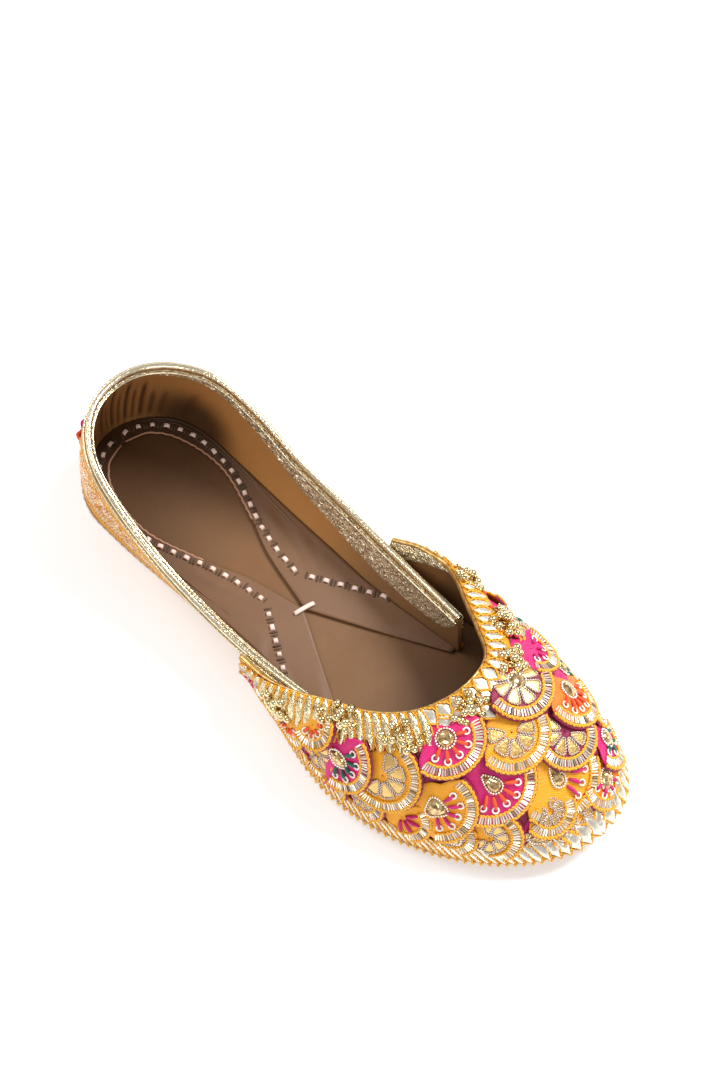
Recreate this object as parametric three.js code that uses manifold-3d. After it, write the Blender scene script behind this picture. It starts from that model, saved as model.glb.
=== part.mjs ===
// Mojari shoe (flat jutti slipper) for the right foot.
// Millimetres, +X to the toe, +Y to the big toe side, +Z up.
import * as THREE from 'three';
import { ParametricGeometry } from 'three/addons/geometries/ParametricGeometry.js';
import { mergeVertices } from 'three/addons/utils/BufferGeometryUtils.js';
import Module from 'manifold-3d';

const wasm = await Module();
wasm.setup();

// Driving dimensions. x runs from the back of the heel (0) to the toe, y from the middle of the heel.
const SOLE_LENGTH = 248;
const OUTSOLE_THICKNESS = 3;
const INSOLE_THICKNESS = 2;
const VAMP_WALL = 2;
const QUARTER_WALL = 2;
const FLAP_THICKNESS = 1.2;
const PIPING_RADIUS = 1.2;
const BEAD_RADIUS = 1.5;
const BEAD_CLEARANCE = 0.5;
const GAP = 0.3;
const ARCH_LIFT = 1.2;
const TOE_SPRING = 3.5;
const EDGE_CHAMFER = 0.6;
const INSOLE_INSET = 0.8;
const VAMP_INSET = 0.4;
// The middle of the whole shoe's box, which becomes the origin.
const FRAME_CENTRE = new THREE.Vector3(124, 2.2, 0);

// Half widths of the sole along its length, before the heel and toe are rounded.
const SOLE_WIDTHS = [
  { x: 0, half: 28 },
  { x: 40, half: 28.7 },
  { x: 105, half: 27.6 },
  { x: 172, half: 44.3 },
  { x: 248, half: 41.5 },
];
const HEEL_ROUND = 28;
const TOE_ROUND = 81;
const TOE_POWER = 2.4;
// The middle line swings to the big toe side in front of the waist.
const SWING = { start: 100, length: 150, toe: 15.2, ball: -7.5 };

// Where the sole leaves the floor: flat heel, lifted waist, flat forefoot, sprung toe.
const LIFTS = [
  { x: 0, lift: 0 },
  { x: 72, lift: 0 },
  { x: 104, lift: ARCH_LIFT },
  { x: 136, lift: 0 },
  { x: 212, lift: 0 },
  { x: 248, lift: TOE_SPRING },
];

// Middle of the quarter's wall from the heel to its front end, the same on both sides:
// foot of the wall, topline, and how far the wall swells out between them.
const QUARTER_ROWS = [
  { footX: 1.8, footY: 0, rimX: 10.8, rimY: 0, rimZ: 50.7, swell: 2.4 },
  { footX: 5.3, footY: 12.1, rimX: 13.6, rimY: 12, rimZ: 50.7, swell: 2.2 },
  { footX: 14.4, footY: 21.9, rimX: 22.5, rimY: 22.4, rimZ: 50.2, swell: 1.6 },
  { footX: 28, footY: 26.6, rimX: 36, rimY: 29.5, rimZ: 48.4, swell: 1.2 },
  { footX: 50, footY: 26.9, rimX: 54.7, rimY: 32.6, rimZ: 41.2, swell: 1 },
  { footX: 75, footY: 26.4, rimX: 76.3, rimY: 33.2, rimZ: 31.9, swell: 0.8 },
  { footX: 100, footY: 25.9, rimX: 101.8, rimY: 33.4, rimZ: 27.9, swell: 0.6 },
  { footX: 122, footY: 26, rimX: 124, rimY: 32.6, rimZ: 27.2, swell: 0.3 },
  { footX: 144, footY: 28.2, rimX: 145, rimY: 31, rimZ: 29, swell: 0 },
  { footX: 164, footY: 30, rimX: 163.6, rimY: 28.6, rimZ: 33.3, swell: 0 },
];

// Outer top edge of the vamp, from the tip of the little toe side wing round the throat to the other tip.
const THROAT = [
  { x: 118, y: -37.6, z: 29 },
  { x: 130, y: -37.2, z: 31 },
  { x: 142, y: -34.6, z: 34.5 },
  { x: 156, y: -29, z: 39 },
  { x: 171, y: -23, z: 43.5 },
  { x: 181.5, y: -14, z: 47 },
  { x: 187, y: -3, z: 49.3 },
  { x: 188, y: 9, z: 49.3 },
  { x: 184, y: 20, z: 46.3 },
  { x: 172, y: 27.8, z: 42.5 },
  { x: 161.5, y: 33.3, z: 39 },
  { x: 152, y: 38.4, z: 36 },
  { x: 143, y: 41.4, z: 33.5 },
  { x: 133, y: 41, z: 31 },
  { x: 121.5, y: 37.4, z: 27 },
];
const NEAR_WING_X = 118;
const FAR_WING_X = 121.5;

// How the vamp rises from the sole edge to the throat:
// wings stand straight, the sides are round, the toe is low.
const RISE = [
  { at: 0, round: 1.2, steep: 0.95, swell: 1.6 },
  { at: 0.14, round: 1.6, steep: 0.75, swell: 1.4 },
  { at: 0.3, round: 1.9, steep: 0.68, swell: 0.8 },
  { at: 0.5, round: 1.5, steep: 0.8, swell: 0 },
  { at: 0.7, round: 1.9, steep: 0.68, swell: 0.8 },
  { at: 0.86, round: 1.6, steep: 0.75, swell: 1 },
  { at: 1, round: 1.2, steep: 0.95, swell: 0.8 },
];

// Window in the turned-in lining: a teardrop over the heel, closed at the cross stitch,
// open in a V in front.
const WINDOW = [
  { x: 10, half: 0 },
  { x: 13, half: 9.5 },
  { x: 24, half: 17 },
  { x: 45, half: 19.8 },
  { x: 66, half: 14 },
  { x: 86, half: 6.2 },
  { x: 112, half: GAP / 2 },
];
const FLAP_FRONT = { x: 162, half: 26.4 };
const FLAP_CLEARANCE = 0.6;

// Bead clusters beside the throat: place along the vamp and how far up its face.
const BEAD_CLUSTERS = [
  { along: 0.1, up: 0.58 },
  { along: 0.238, up: 0.83 },
  { along: 0.35, up: 0.79 },
  { along: 0.485, up: 0.88 },
  { along: 0.615, up: 0.825 },
  { along: 0.72, up: 0.72 },
  { along: 0.837, up: 0.72 },
];
const RING_BEADS = 5;
const RING_RADIUS = 1.8;
const RING_UP = 0.2;
const TOP_BEAD_UP = 1.3;

// How finely each form is divided.
const SOLE_STATIONS = 56;
const VAMP_STATIONS = 76;
const QUARTER_STATIONS = 72;
const WALL_ROWS = 8;
const FLAP_STATIONS = 84;
// Share of the quarter's length that the turned-in lining stops short of its front ends.
const FLAP_END = 0.004;
const PIPING_STEPS = 64;
const PIPING_SIDES = 8;
const FEATHER_STEPS = 40;
const FEATHER_DIVISIONS = 400;
// The vamp's rows lie closer together near the sole, where it curves most.
const VAMP_ROW_POWER = 1.4;
// Puts the quarter's widest swell a little below the middle of its height.
const SWELL_POWER = 0.8;
// Small steps along a surface that give its direction, as shares of its length.
const SQUARE_STEP = 0.004;
const AHEAD_STEP = 0.01;
const MERGE_DISTANCE = 1e-4;
// Most of the sole's half width that the lower chamfer may take at its narrow ends.
const CHAMFER_SHARE = 0.25;

const INSOLE_BOTTOM = OUTSOLE_THICKNESS + GAP;
const INSOLE_TOP = INSOLE_BOTTOM + INSOLE_THICKNESS;
const WALL_FOOT = INSOLE_TOP + GAP;

const finishes = {
  soleLeather: new THREE.MeshStandardMaterial({ color: 0xb98a52, roughness: 0.6, metalness: 0 }),
  insoleLeather: new THREE.MeshStandardMaterial({ color: 0x6b4a30, roughness: 0.55, metalness: 0 }),
  liningLeather: new THREE.MeshStandardMaterial({ color: 0x6f5340, roughness: 0.55, metalness: 0 }),
  vampCloth: new THREE.MeshStandardMaterial({ color: 0xe9a12e, roughness: 0.8, metalness: 0 }),
  quarterCloth: new THREE.MeshStandardMaterial({ color: 0xd9b06a, roughness: 0.7, metalness: 0 }),
  goldPiping: new THREE.MeshStandardMaterial({ color: 0xf3e3b5, roughness: 0.3, metalness: 0.9 }),
  bead: new THREE.MeshStandardMaterial({ color: 0xe6d79a, roughness: 0.2, metalness: 1 }),
};

// Smooth value of one column of a table at a place along it.
function read(rows, key, column, place) {
  const last = rows.length - 1;
  const p = THREE.MathUtils.clamp(place, rows[0][key], rows[last][key]);
  let i = 0;
  while (i < last - 1 && p > rows[i + 1][key]) i += 1;
  const slope = (j) => {
    const a = rows[Math.max(j - 1, 0)];
    const b = rows[Math.min(j + 1, last)];
    return (b[column] - a[column]) / (b[key] - a[key]);
  };
  const span = rows[i + 1][key] - rows[i][key];
  const t = (p - rows[i][key]) / span;
  const start = rows[i][column] * (1 + 2 * t) * (1 - t) ** 2 + slope(i) * span * t * (1 - t) ** 2;
  const end = rows[i + 1][column] * (3 - 2 * t) * t ** 2 - slope(i + 1) * span * (1 - t) * t ** 2;
  return start + end;
}

// Height of the sole's underside off the floor, easing from one row of the table to the next.
function lift(x) {
  const next = LIFTS.findIndex((row) => row.x > x);
  if (next < 1) return next === 0 ? LIFTS[0].lift : LIFTS.at(-1).lift;
  const [a, b] = [LIFTS[next - 1], LIFTS[next]];
  return THREE.MathUtils.lerp(a.lift, b.lift, THREE.MathUtils.smoothstep(x, a.x, b.x));
}

function middle(x) {
  const t = THREE.MathUtils.clamp((x - SWING.start) / SWING.length, 0, 1);
  return SWING.toe * t * t + SWING.ball * t * (1 - t);
}

// Half width of the sole's outline, brought in by an inset all round.
function halfWidth(x, inset) {
  const fromHeel = Math.max(x - inset, 0);
  const fromToe = Math.max(SOLE_LENGTH - inset - x, 0);
  const heel = fromHeel < HEEL_ROUND ? Math.sqrt(1 - (1 - fromHeel / HEEL_ROUND) ** 2) : 1;
  const reach = Math.max(1 - fromToe / TOE_ROUND, 0);
  const toe = (1 - reach ** TOE_POWER) ** (1 / TOE_POWER);
  return (read(SOLE_WIDTHS, 'x', 'half', x) - inset) * heel * toe;
}

// A point of the outline: side is -1 for the little toe side, 1 for the big toe side.
function edge(x, side, inset, z) {
  return new THREE.Vector3(x, middle(x) + side * halfWidth(x, inset), z + lift(x));
}

// Merges shared points, drops triangles of no area and turns every face outward.
function closed(geometry) {
  geometry.deleteAttribute('normal');
  geometry.deleteAttribute('uv');
  const merged = mergeVertices(geometry, MERGE_DISTANCE);
  const point = (i) => new THREE.Vector3().fromBufferAttribute(merged.attributes.position, i);
  const faces = [];
  let volume = 0;
  for (let i = 0; i < merged.index.count; i += 3) {
    const [a, b, c] = [0, 1, 2].map((k) => merged.index.getX(i + k));
    if (a === b || b === c || c === a) continue;
    volume += point(a).dot(point(b).cross(point(c)));
    faces.push([a, b, c]);
  }
  merged.setIndex(faces.flatMap((face) => (volume < 0 ? [face[0], face[2], face[1]] : face)));
  merged.computeVertexNormals();
  return merged;
}

// Closed skin through rings of points. Each ring runs up one face of a wall and back down the other,
// and the first and last ring are folded shut along the wall's middle.
function skin(rings) {
  const around = rings[0].length;
  const fold = (ring) => ring.map((p, i) => p.clone().lerp(ring[around - 1 - i], 0.5));
  const all = [fold(rings[0]), ...rings, fold(rings.at(-1))];
  const steps = all.length - 1;
  const geometry = new ParametricGeometry((u, v, target) => {
    target.copy(all[Math.round(v * steps)][Math.round(u * around) % around]);
  }, around, steps);
  return closed(geometry);
}

// Sole plate between two heights, with a small chamfer round its lower edge.
function plate(bottom, thickness, inset) {
  const rings = [];
  for (let i = 1; i < SOLE_STATIONS; i += 1) {
    const turn = (Math.PI * i) / SOLE_STATIONS;
    const x = inset + ((SOLE_LENGTH - 2 * inset) * (1 - Math.cos(turn))) / 2;
    const narrow = Math.min(EDGE_CHAMFER, CHAMFER_SHARE * halfWidth(x, inset));
    const level = (side, cut, z) => {
      const p = edge(x, side, inset, z);
      p.y -= side * cut;
      return p;
    };
    rings.push([
      level(-1, narrow, bottom),
      level(-1, 0, bottom + EDGE_CHAMFER),
      level(-1, 0, bottom + thickness),
      level(1, 0, bottom + thickness),
      level(1, 0, bottom + EDGE_CHAMFER),
      level(1, narrow, bottom),
    ]);
  }
  return skin(rings);
}

const vectors = (rows) => rows.map((row) => new THREE.Vector3(row.x, row.y, row.z));
const throatLine = new THREE.CatmullRomCurve3(vectors(THROAT));

// Sole edge under the vamp, from one wing round the toe to the other wing.
function featherLine() {
  const points = [];
  const reach = SOLE_LENGTH - VAMP_INSET;
  for (let i = 0; i <= 2 * FEATHER_STEPS; i += 1) {
    const side = i <= FEATHER_STEPS ? -1 : 1;
    const wing = side < 0 ? NEAR_WING_X : FAR_WING_X;
    const turn = (Math.PI / 2) * (Math.abs(i - FEATHER_STEPS) / FEATHER_STEPS);
    const x = wing + (reach - wing) * Math.cos(turn);
    points.push(edge(x, side, VAMP_INSET, WALL_FOOT));
  }
  return new THREE.CatmullRomCurve3(points);
}
const feather = featherLine();
feather.arcLengthDivisions = FEATHER_DIVISIONS;

// Outer face of the vamp: along runs from wing to wing round the toe, up runs from the sole to the throat.
function vampOuter(along, up) {
  const foot = feather.getPointAt(along);
  const top = throatLine.getPointAt(along);
  const round = read(RISE, 'at', 'round', along);
  const steep = read(RISE, 'at', 'steep', along);
  const swell = read(RISE, 'at', 'swell', along);
  const rise = (1 - (1 - up) ** round) ** steep;
  const ahead = feather.getTangentAt(along);
  const out = new THREE.Vector3(ahead.y, -ahead.x, 0).normalize();
  const p = foot.clone().lerp(top, up);
  p.z = THREE.MathUtils.lerp(foot.z, top.z, rise);
  return p.addScaledVector(out, swell * Math.sin(Math.PI * up));
}

// Square to a surface given as a function of two places, on its right hand when facing along it.
function square(surface, along, up) {
  const inside = (value) => THREE.MathUtils.clamp(value, SQUARE_STEP, 1 - SQUARE_STEP);
  const [a, b] = [inside(along), inside(up)];
  const forward = surface(a + SQUARE_STEP, b).sub(surface(a - SQUARE_STEP, b));
  const upward = surface(a, b + SQUARE_STEP).sub(surface(a, b - SQUARE_STEP));
  return forward.cross(upward).normalize();
}

function vamp() {
  const rings = [];
  for (let i = 0; i <= VAMP_STATIONS; i += 1) {
    const along = i / VAMP_STATIONS;
    const outer = [];
    const inner = [];
    for (let j = 0; j <= WALL_ROWS; j += 1) {
      const up = (j / WALL_ROWS) ** VAMP_ROW_POWER;
      const p = vampOuter(along, up);
      const n = square(vampOuter, along, up);
      const q = p.clone().addScaledVector(n, -VAMP_WALL);
      q.z = Math.max(q.z, p.z - VAMP_WALL, vampOuter(along, 0).z);
      outer.push(p);
      inner.unshift(q);
    }
    rings.push([...outer, ...inner]);
  }
  return skin(rings);
}

// Both sides of the quarter as one line of rows, from one front end round the heel to the other.
function quarterRows() {
  const turned = (sign, row) => ({ ...row, footY: sign * row.footY, rimY: sign * row.rimY });
  const side = (sign) => QUARTER_ROWS.map((row) => turned(sign, row));
  const both = [...side(-1).reverse(), ...side(1).slice(1)];
  return both.map((row, i) => ({ ...row, at: i / (both.length - 1) }));
}
const rows = quarterRows();

const rimPoint = (at) => new THREE.Vector3(
  read(rows, 'at', 'rimX', at),
  read(rows, 'at', 'rimY', at),
  read(rows, 'at', 'rimZ', at),
);

// Middle of the quarter's wall, ending just under the piping.
function quarterMiddle(at, up) {
  const footX = read(rows, 'at', 'footX', at);
  const footY = read(rows, 'at', 'footY', at);
  const foot = new THREE.Vector3(footX, footY, WALL_FOOT + lift(footX));
  const rim = rimPoint(at);
  const height = rim.distanceTo(foot);
  const p = foot.clone().lerp(rim, (up * (height - PIPING_RADIUS - GAP)) / height);
  const ahead = rimPoint(Math.min(at + AHEAD_STEP, 1)).sub(rimPoint(Math.max(at - AHEAD_STEP, 0)));
  const out = new THREE.Vector3(ahead.y, -ahead.x, 0).normalize();
  return p.addScaledVector(out, -read(rows, 'at', 'swell', at) * Math.sin(Math.PI * up ** SWELL_POWER));
}

function quarterInward(at, up) {
  const inward = square(quarterMiddle, at, up);
  inward.z = 0;
  return inward.normalize();
}

function quarter() {
  const rings = [];
  for (let i = 0; i <= QUARTER_STATIONS; i += 1) {
    const at = i / QUARTER_STATIONS;
    const outer = [];
    const inner = [];
    for (let j = 0; j <= WALL_ROWS; j += 1) {
      const up = j / WALL_ROWS;
      const p = quarterMiddle(at, up);
      const inward = quarterInward(at, up);
      outer.push(p.clone().addScaledVector(inward, -QUARTER_WALL / 2));
      inner.unshift(p.clone().addScaledVector(inward, QUARTER_WALL / 2));
    }
    rings.push([...outer, ...inner]);
  }
  return skin(rings);
}

function piping() {
  const points = [];
  for (let i = 0; i <= PIPING_STEPS; i += 1) points.push(rimPoint(i / PIPING_STEPS));
  const section = new THREE.Shape().absarc(0, 0, PIPING_RADIUS, 0, 2 * Math.PI, false);
  return closed(new THREE.ExtrudeGeometry(section, {
    steps: PIPING_STEPS,
    curveSegments: PIPING_SIDES / 2,
    bevelEnabled: false,
    extrudePath: new THREE.CatmullRomCurve3(points),
  }));
}

// Half width of the window between the two sides of the turned-in lining.
function windowHalf(x) {
  const cross = WINDOW.at(-1);
  if (x <= cross.x) return read(WINDOW, 'x', 'half', x);
  return THREE.MathUtils.mapLinear(x, cross.x, FLAP_FRONT.x, cross.half, FLAP_FRONT.half);
}

// Lining turned in over the insole: outer edge along the foot of the quarter, inner edge round the window.
function flap() {
  const rings = [];
  const cross = WINDOW.at(-1);
  const back = quarterMiddle(0.5, 0).x + QUARTER_WALL / 2 + FLAP_CLEARANCE;
  for (let i = 0; i <= FLAP_STATIONS; i += 1) {
    const at = THREE.MathUtils.lerp(FLAP_END, 1 - FLAP_END, i / FLAP_STATIONS);
    const outer = quarterMiddle(at, 0);
    outer.addScaledVector(quarterInward(at, 0), QUARTER_WALL / 2 + FLAP_CLEARANCE);
    const behind = THREE.MathUtils.mapLinear(outer.x, back, cross.x, WINDOW[0].x, cross.x);
    const x = outer.x > cross.x ? outer.x : behind;
    const inner = new THREE.Vector3(x, Math.sign(at - 0.5) * windowHalf(x), 0);
    const level = (p, z) => new THREE.Vector3(p.x, p.y, z + lift(p.x));
    rings.push([
      level(outer, WALL_FOOT),
      level(outer, WALL_FOOT + FLAP_THICKNESS),
      level(inner, WALL_FOOT + FLAP_THICKNESS),
      level(inner, WALL_FOOT),
    ]);
  }
  return skin(rings);
}

function solid(geometry) {
  const mesh = new wasm.Mesh({
    numProp: 3,
    vertProperties: new Float32Array(geometry.attributes.position.array),
    triVerts: new Uint32Array(geometry.index.array),
  });
  return new wasm.Manifold(mesh);
}

// One cluster of round beads pressed together on the vamp.
function beadCluster(cluster) {
  const { along, up } = cluster;
  const out = square(vampOuter, along, up);
  const ahead = vampOuter(along + AHEAD_STEP, up).sub(vampOuter(along, up)).normalize();
  const across = out.clone().cross(ahead).normalize();
  const seat = vampOuter(along, up).addScaledVector(out, BEAD_RADIUS + BEAD_CLEARANCE);
  const ball = (forward, sideways, high) => {
    const sphere = new THREE.IcosahedronGeometry(BEAD_RADIUS);
    const place = seat.clone()
      .addScaledVector(ahead, forward)
      .addScaledVector(across, sideways)
      .addScaledVector(out, high);
    sphere.translate(place.x, place.y, place.z);
    return solid(closed(sphere));
  };
  const beads = [ball(0, 0, TOP_BEAD_UP)];
  for (let i = 0; i < RING_BEADS; i += 1) {
    const turn = (2 * Math.PI * i) / RING_BEADS;
    beads.push(ball(RING_RADIUS * Math.cos(turn), RING_RADIUS * Math.sin(turn), RING_UP));
  }
  const joined = beads.reduce((all, bead) => all.add(bead)).getMesh();
  const geometry = new THREE.BufferGeometry();
  geometry.setAttribute('position', new THREE.BufferAttribute(joined.vertProperties, 3));
  geometry.setIndex(new THREE.BufferAttribute(joined.triVerts, 1));
  return closed(geometry);
}

const shoe = new THREE.Group();
shoe.position.copy(FRAME_CENTRE).negate();

function add(name, geometry, finish) {
  const mesh = new THREE.Mesh(geometry, finish);
  mesh.name = name;
  shoe.add(mesh);
}

add('outsole', plate(0, OUTSOLE_THICKNESS, 0), finishes.soleLeather);
add('insole', plate(INSOLE_BOTTOM, INSOLE_THICKNESS, INSOLE_INSET), finishes.insoleLeather);
add('quarter', quarter(), finishes.quarterCloth);
add('vamp', vamp(), finishes.vampCloth);
add('topline_piping', piping(), finishes.goldPiping);
add('lining_flap', flap(), finishes.liningLeather);
BEAD_CLUSTERS.forEach((cluster, i) => add(`bead_cluster_${i + 1}`, beadCluster(cluster), finishes.bead));

export default shoe;
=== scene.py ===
"""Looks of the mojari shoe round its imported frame. Lengths are in mm from the heel until they are sewn."""
import math

import bmesh
import bpy
import numpy as np
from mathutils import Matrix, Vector


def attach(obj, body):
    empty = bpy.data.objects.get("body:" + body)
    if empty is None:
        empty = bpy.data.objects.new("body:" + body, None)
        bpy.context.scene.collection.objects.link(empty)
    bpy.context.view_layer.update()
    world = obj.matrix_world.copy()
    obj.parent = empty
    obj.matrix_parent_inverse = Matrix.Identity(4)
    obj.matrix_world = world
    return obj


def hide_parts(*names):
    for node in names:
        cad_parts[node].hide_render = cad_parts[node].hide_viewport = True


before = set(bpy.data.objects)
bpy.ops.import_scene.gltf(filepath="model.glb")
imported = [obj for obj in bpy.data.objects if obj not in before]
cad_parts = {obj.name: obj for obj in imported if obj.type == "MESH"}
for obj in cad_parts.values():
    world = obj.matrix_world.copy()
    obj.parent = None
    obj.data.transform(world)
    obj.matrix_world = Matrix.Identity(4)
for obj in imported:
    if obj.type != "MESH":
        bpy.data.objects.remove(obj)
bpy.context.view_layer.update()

MM = 0.001
TAU = 2 * math.pi
UP = (0, 0, 1.0)
# points closer than this, in mm, are joined
WELD = 1e-4
rng = np.random.default_rng(7)

# ---------------------------------------------------------------- sizes, as in the part's source
SOLE_LENGTH = 248
OUTSOLE_THICKNESS = 3
INSOLE_THICKNESS = 2
GAP = 0.3
VAMP_WALL = 2
QUARTER_WALL = 2
FLAP_THICKNESS = 1.2
PIPING_RADIUS = 1.2
BEAD_RADIUS = 1.7
INSOLE_INSET = 0.8
VAMP_INSET = 0.4
HEEL_ROUND = 28
TOE_ROUND = 81
TOE_POWER = 2.4
SWING_START, SWING_LENGTH, SWING_TOE, SWING_BALL = 100, 150, 15.2, -7.5
FRAME_CENTRE = np.array((124, 2.2, 0))
INSOLE_BOTTOM = OUTSOLE_THICKNESS + GAP
INSOLE_TOP = INSOLE_BOTTOM + INSOLE_THICKNESS
WALL_FOOT = INSOLE_TOP + GAP

# x, half width
SOLE_WIDTHS = [(0, 28), (40, 28.7), (105, 27.6), (172, 44.3), (248, 41.5)]
# x, height off the floor
LIFTS = [(0, 0), (72, 0), (104, 1.2), (136, 0), (212, 0), (248, 3.5)]
# foot x, foot y, rim x, rim y, rim z, swell
QUARTER_ROWS = [
    (1.8, 0, 10.8, 0, 50.7, 2.4),
    (5.3, 12.1, 13.6, 12, 50.7, 2.2),
    (14.4, 21.9, 22.5, 22.4, 50.2, 1.6),
    (28, 26.6, 36, 29.5, 48.4, 1.2),
    (50, 26.9, 54.7, 32.6, 41.2, 1),
    (75, 26.4, 76.3, 33.2, 31.9, 0.8),
    (100, 25.9, 101.8, 33.4, 27.9, 0.6),
    (122, 26, 124, 32.6, 27.2, 0.3),
    (144, 28.2, 145, 31, 29, 0),
    (164, 30, 163.6, 28.6, 33.3, 0),
]
# outer top edge of the vamp: x, y, z
THROAT = [
    (118, -37.6, 29), (130, -37.2, 31), (142, -34.6, 34.5), (156, -29, 39), (171, -23, 43.5),
    (181.5, -14, 47), (187, -3, 49.3), (188, 9, 49.3), (184, 20, 46.3), (172, 27.8, 42.5),
    (161.5, 33.3, 39), (152, 38.4, 36), (143, 41.4, 33.5), (133, 41, 31), (121.5, 37.4, 27),
]
NEAR_WING_X, FAR_WING_X = 118, 121.5
# place along the vamp, round, steep, swell
RISE = [
    (0, 1.2, 0.95, 1.6), (0.14, 1.6, 0.75, 1.4), (0.3, 1.9, 0.68, 0.8), (0.5, 1.5, 0.8, 0),
    (0.7, 1.9, 0.68, 0.8), (0.86, 1.6, 0.75, 1), (1, 1.2, 0.95, 0.8),
]
# window in the lining: x, half width
WINDOW = [(10, 0), (13, 9.5), (24, 17), (45, 19.8), (66, 14), (86, 6.2), (112, GAP / 2)]
FLAP_FRONT = (162, 26.4)


# ---------------------------------------------------------------- shapes of the shoe
def read(rows, column, place):
    """Smooth value of one column of a table, for an array of places along its first column."""
    rows = np.asarray(rows, float)
    key, value = rows[:, 0], rows[:, column]
    last = len(key) - 1
    place = np.clip(place, key[0], key[-1])
    i = np.clip(np.searchsorted(key, place) - 1, 0, last - 1)
    before = np.maximum(np.arange(last + 1) - 1, 0)
    after = np.minimum(np.arange(last + 1) + 1, last)
    slope = (value[after] - value[before]) / (key[after] - key[before])
    span = key[i + 1] - key[i]
    t = (place - key[i]) / span
    start = value[i] * (1 + 2 * t) * (1 - t) ** 2 + slope[i] * span * t * (1 - t) ** 2
    end = value[i + 1] * (3 - 2 * t) * t**2 - slope[i + 1] * span * (1 - t) * t**2
    return start + end


def ease(t):
    t = np.clip(t, 0, 1)
    return t * t * (3 - 2 * t)


def lift(x):
    """Height of the sole's underside off the floor."""
    total = np.zeros_like(np.asarray(x, float))
    for (a, low), (b, high) in zip(LIFTS, LIFTS[1:]):
        total += (high - low) * ease((x - a) / (b - a))
    return total


def middle(x):
    t = np.clip((x - SWING_START) / SWING_LENGTH, 0, 1)
    return SWING_TOE * t * t + SWING_BALL * t * (1 - t)


def half_width(x, inset):
    from_heel = np.maximum(x - inset, 0)
    from_toe = np.maximum(SOLE_LENGTH - inset - x, 0)
    heel = np.sqrt(1 - np.clip(1 - from_heel / HEEL_ROUND, 0, 1) ** 2)
    reach = np.clip(1 - from_toe / TOE_ROUND, 0, 1)
    return (read(SOLE_WIDTHS, 1, x) - inset) * heel * (1 - reach**TOE_POWER) ** (1 / TOE_POWER)


def points(*columns):
    return np.stack(np.broadcast_arrays(*[np.asarray(c, float) for c in columns]), -1)


def edge(x, side, inset, z):
    return points(x, middle(x) + side * half_width(x, inset), z + lift(x))


def unit(v):
    return v / np.maximum(np.linalg.norm(v, axis=-1, keepdims=True), 1e-9)


class Line:
    """A smooth line through a few points, read by the share of its length."""

    def __init__(self, through, steps=24):
        p = np.asarray(through, float)
        p = np.concatenate([[2 * p[0] - p[1]], p, [2 * p[-1] - p[-2]]])
        t = np.linspace(0, 1, steps, endpoint=False)[:, None]
        runs = []
        for a, b, c, d in zip(p, p[1:], p[2:], p[3:]):
            ab, bc, cd = (math.sqrt(np.linalg.norm(v)) for v in (b - a, c - b, d - c))
            leave = ((b - a) / ab - (c - a) / (ab + bc) + (c - b) / bc) * bc
            arrive = ((c - b) / bc - (d - b) / (bc + cd) + (d - c) / cd) * bc
            bend = (3 * (c - b) - 2 * leave - arrive) * t**2 + (2 * (b - c) + leave + arrive) * t**3
            runs.append(b + leave * t + bend)
        self.points = np.concatenate([*runs, p[-2:-1]])
        steps = np.linalg.norm(np.diff(self.points, axis=0), axis=1)
        self.reach = np.concatenate([[0], np.cumsum(steps)])
        self.length = self.reach[-1]

    def at(self, share):
        place = np.clip(share, 0, 1) * self.length
        return points(*[np.interp(place, self.reach, self.points[:, k]) for k in range(3)])

    def ahead(self, share):
        step = 0.002
        return unit(self.at(np.minimum(share + step, 1)) - self.at(np.maximum(share - step, 0)))


def feather_line():
    """Sole edge under the vamp, from one wing round the toe to the other."""
    steps = 40
    reach = SOLE_LENGTH - VAMP_INSET
    line = []
    for i in range(2 * steps + 1):
        side, wing = (-1, NEAR_WING_X) if i <= steps else (1, FAR_WING_X)
        x = wing + (reach - wing) * math.cos(math.pi / 2 * abs(i - steps) / steps)
        line.append(edge(x, side, VAMP_INSET, WALL_FOOT))
    return Line(line, 6)


throat_line = Line(THROAT)
feather = feather_line()


def vamp_outer(along, up):
    foot, top, ahead = feather.at(along), throat_line.at(along), feather.ahead(along)
    out = unit(points(ahead[..., 1], -ahead[..., 0], 0 * up))
    rise = (1 - (1 - up) ** read(RISE, 1, along)) ** read(RISE, 2, along)
    p = foot + (top - foot) * up[..., None]
    p[..., 2] = foot[..., 2] + (top[..., 2] - foot[..., 2]) * rise
    return p + out * (read(RISE, 3, along) * np.sin(math.pi * up))[..., None]


def quarter_table():
    rows = np.asarray(QUARTER_ROWS, float)
    near = rows[::-1] * (1, -1, 1, -1, 1, 1)
    both = np.concatenate([near, rows[1:]])
    return np.column_stack([np.linspace(0, 1, len(both)), both])


QUARTER = quarter_table()


def rim(at):
    return points(*[read(QUARTER, column, at) for column in (3, 4, 5)])


def quarter_middle(at, up):
    foot_x, foot_y = read(QUARTER, 1, at), read(QUARTER, 2, at)
    foot = points(foot_x, foot_y, WALL_FOOT + lift(foot_x))
    top = rim(at)
    height = np.linalg.norm(top - foot, axis=-1)
    p = foot + (top - foot) * (up * (height - PIPING_RADIUS - GAP) / height)[..., None]
    ahead = rim(np.minimum(at + 0.01, 1)) - rim(np.maximum(at - 0.01, 0))
    out = unit(points(-ahead[..., 1], ahead[..., 0], 0 * up))
    return p + out * (read(QUARTER, 6, at) * np.sin(math.pi * up**0.8))[..., None]


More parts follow.
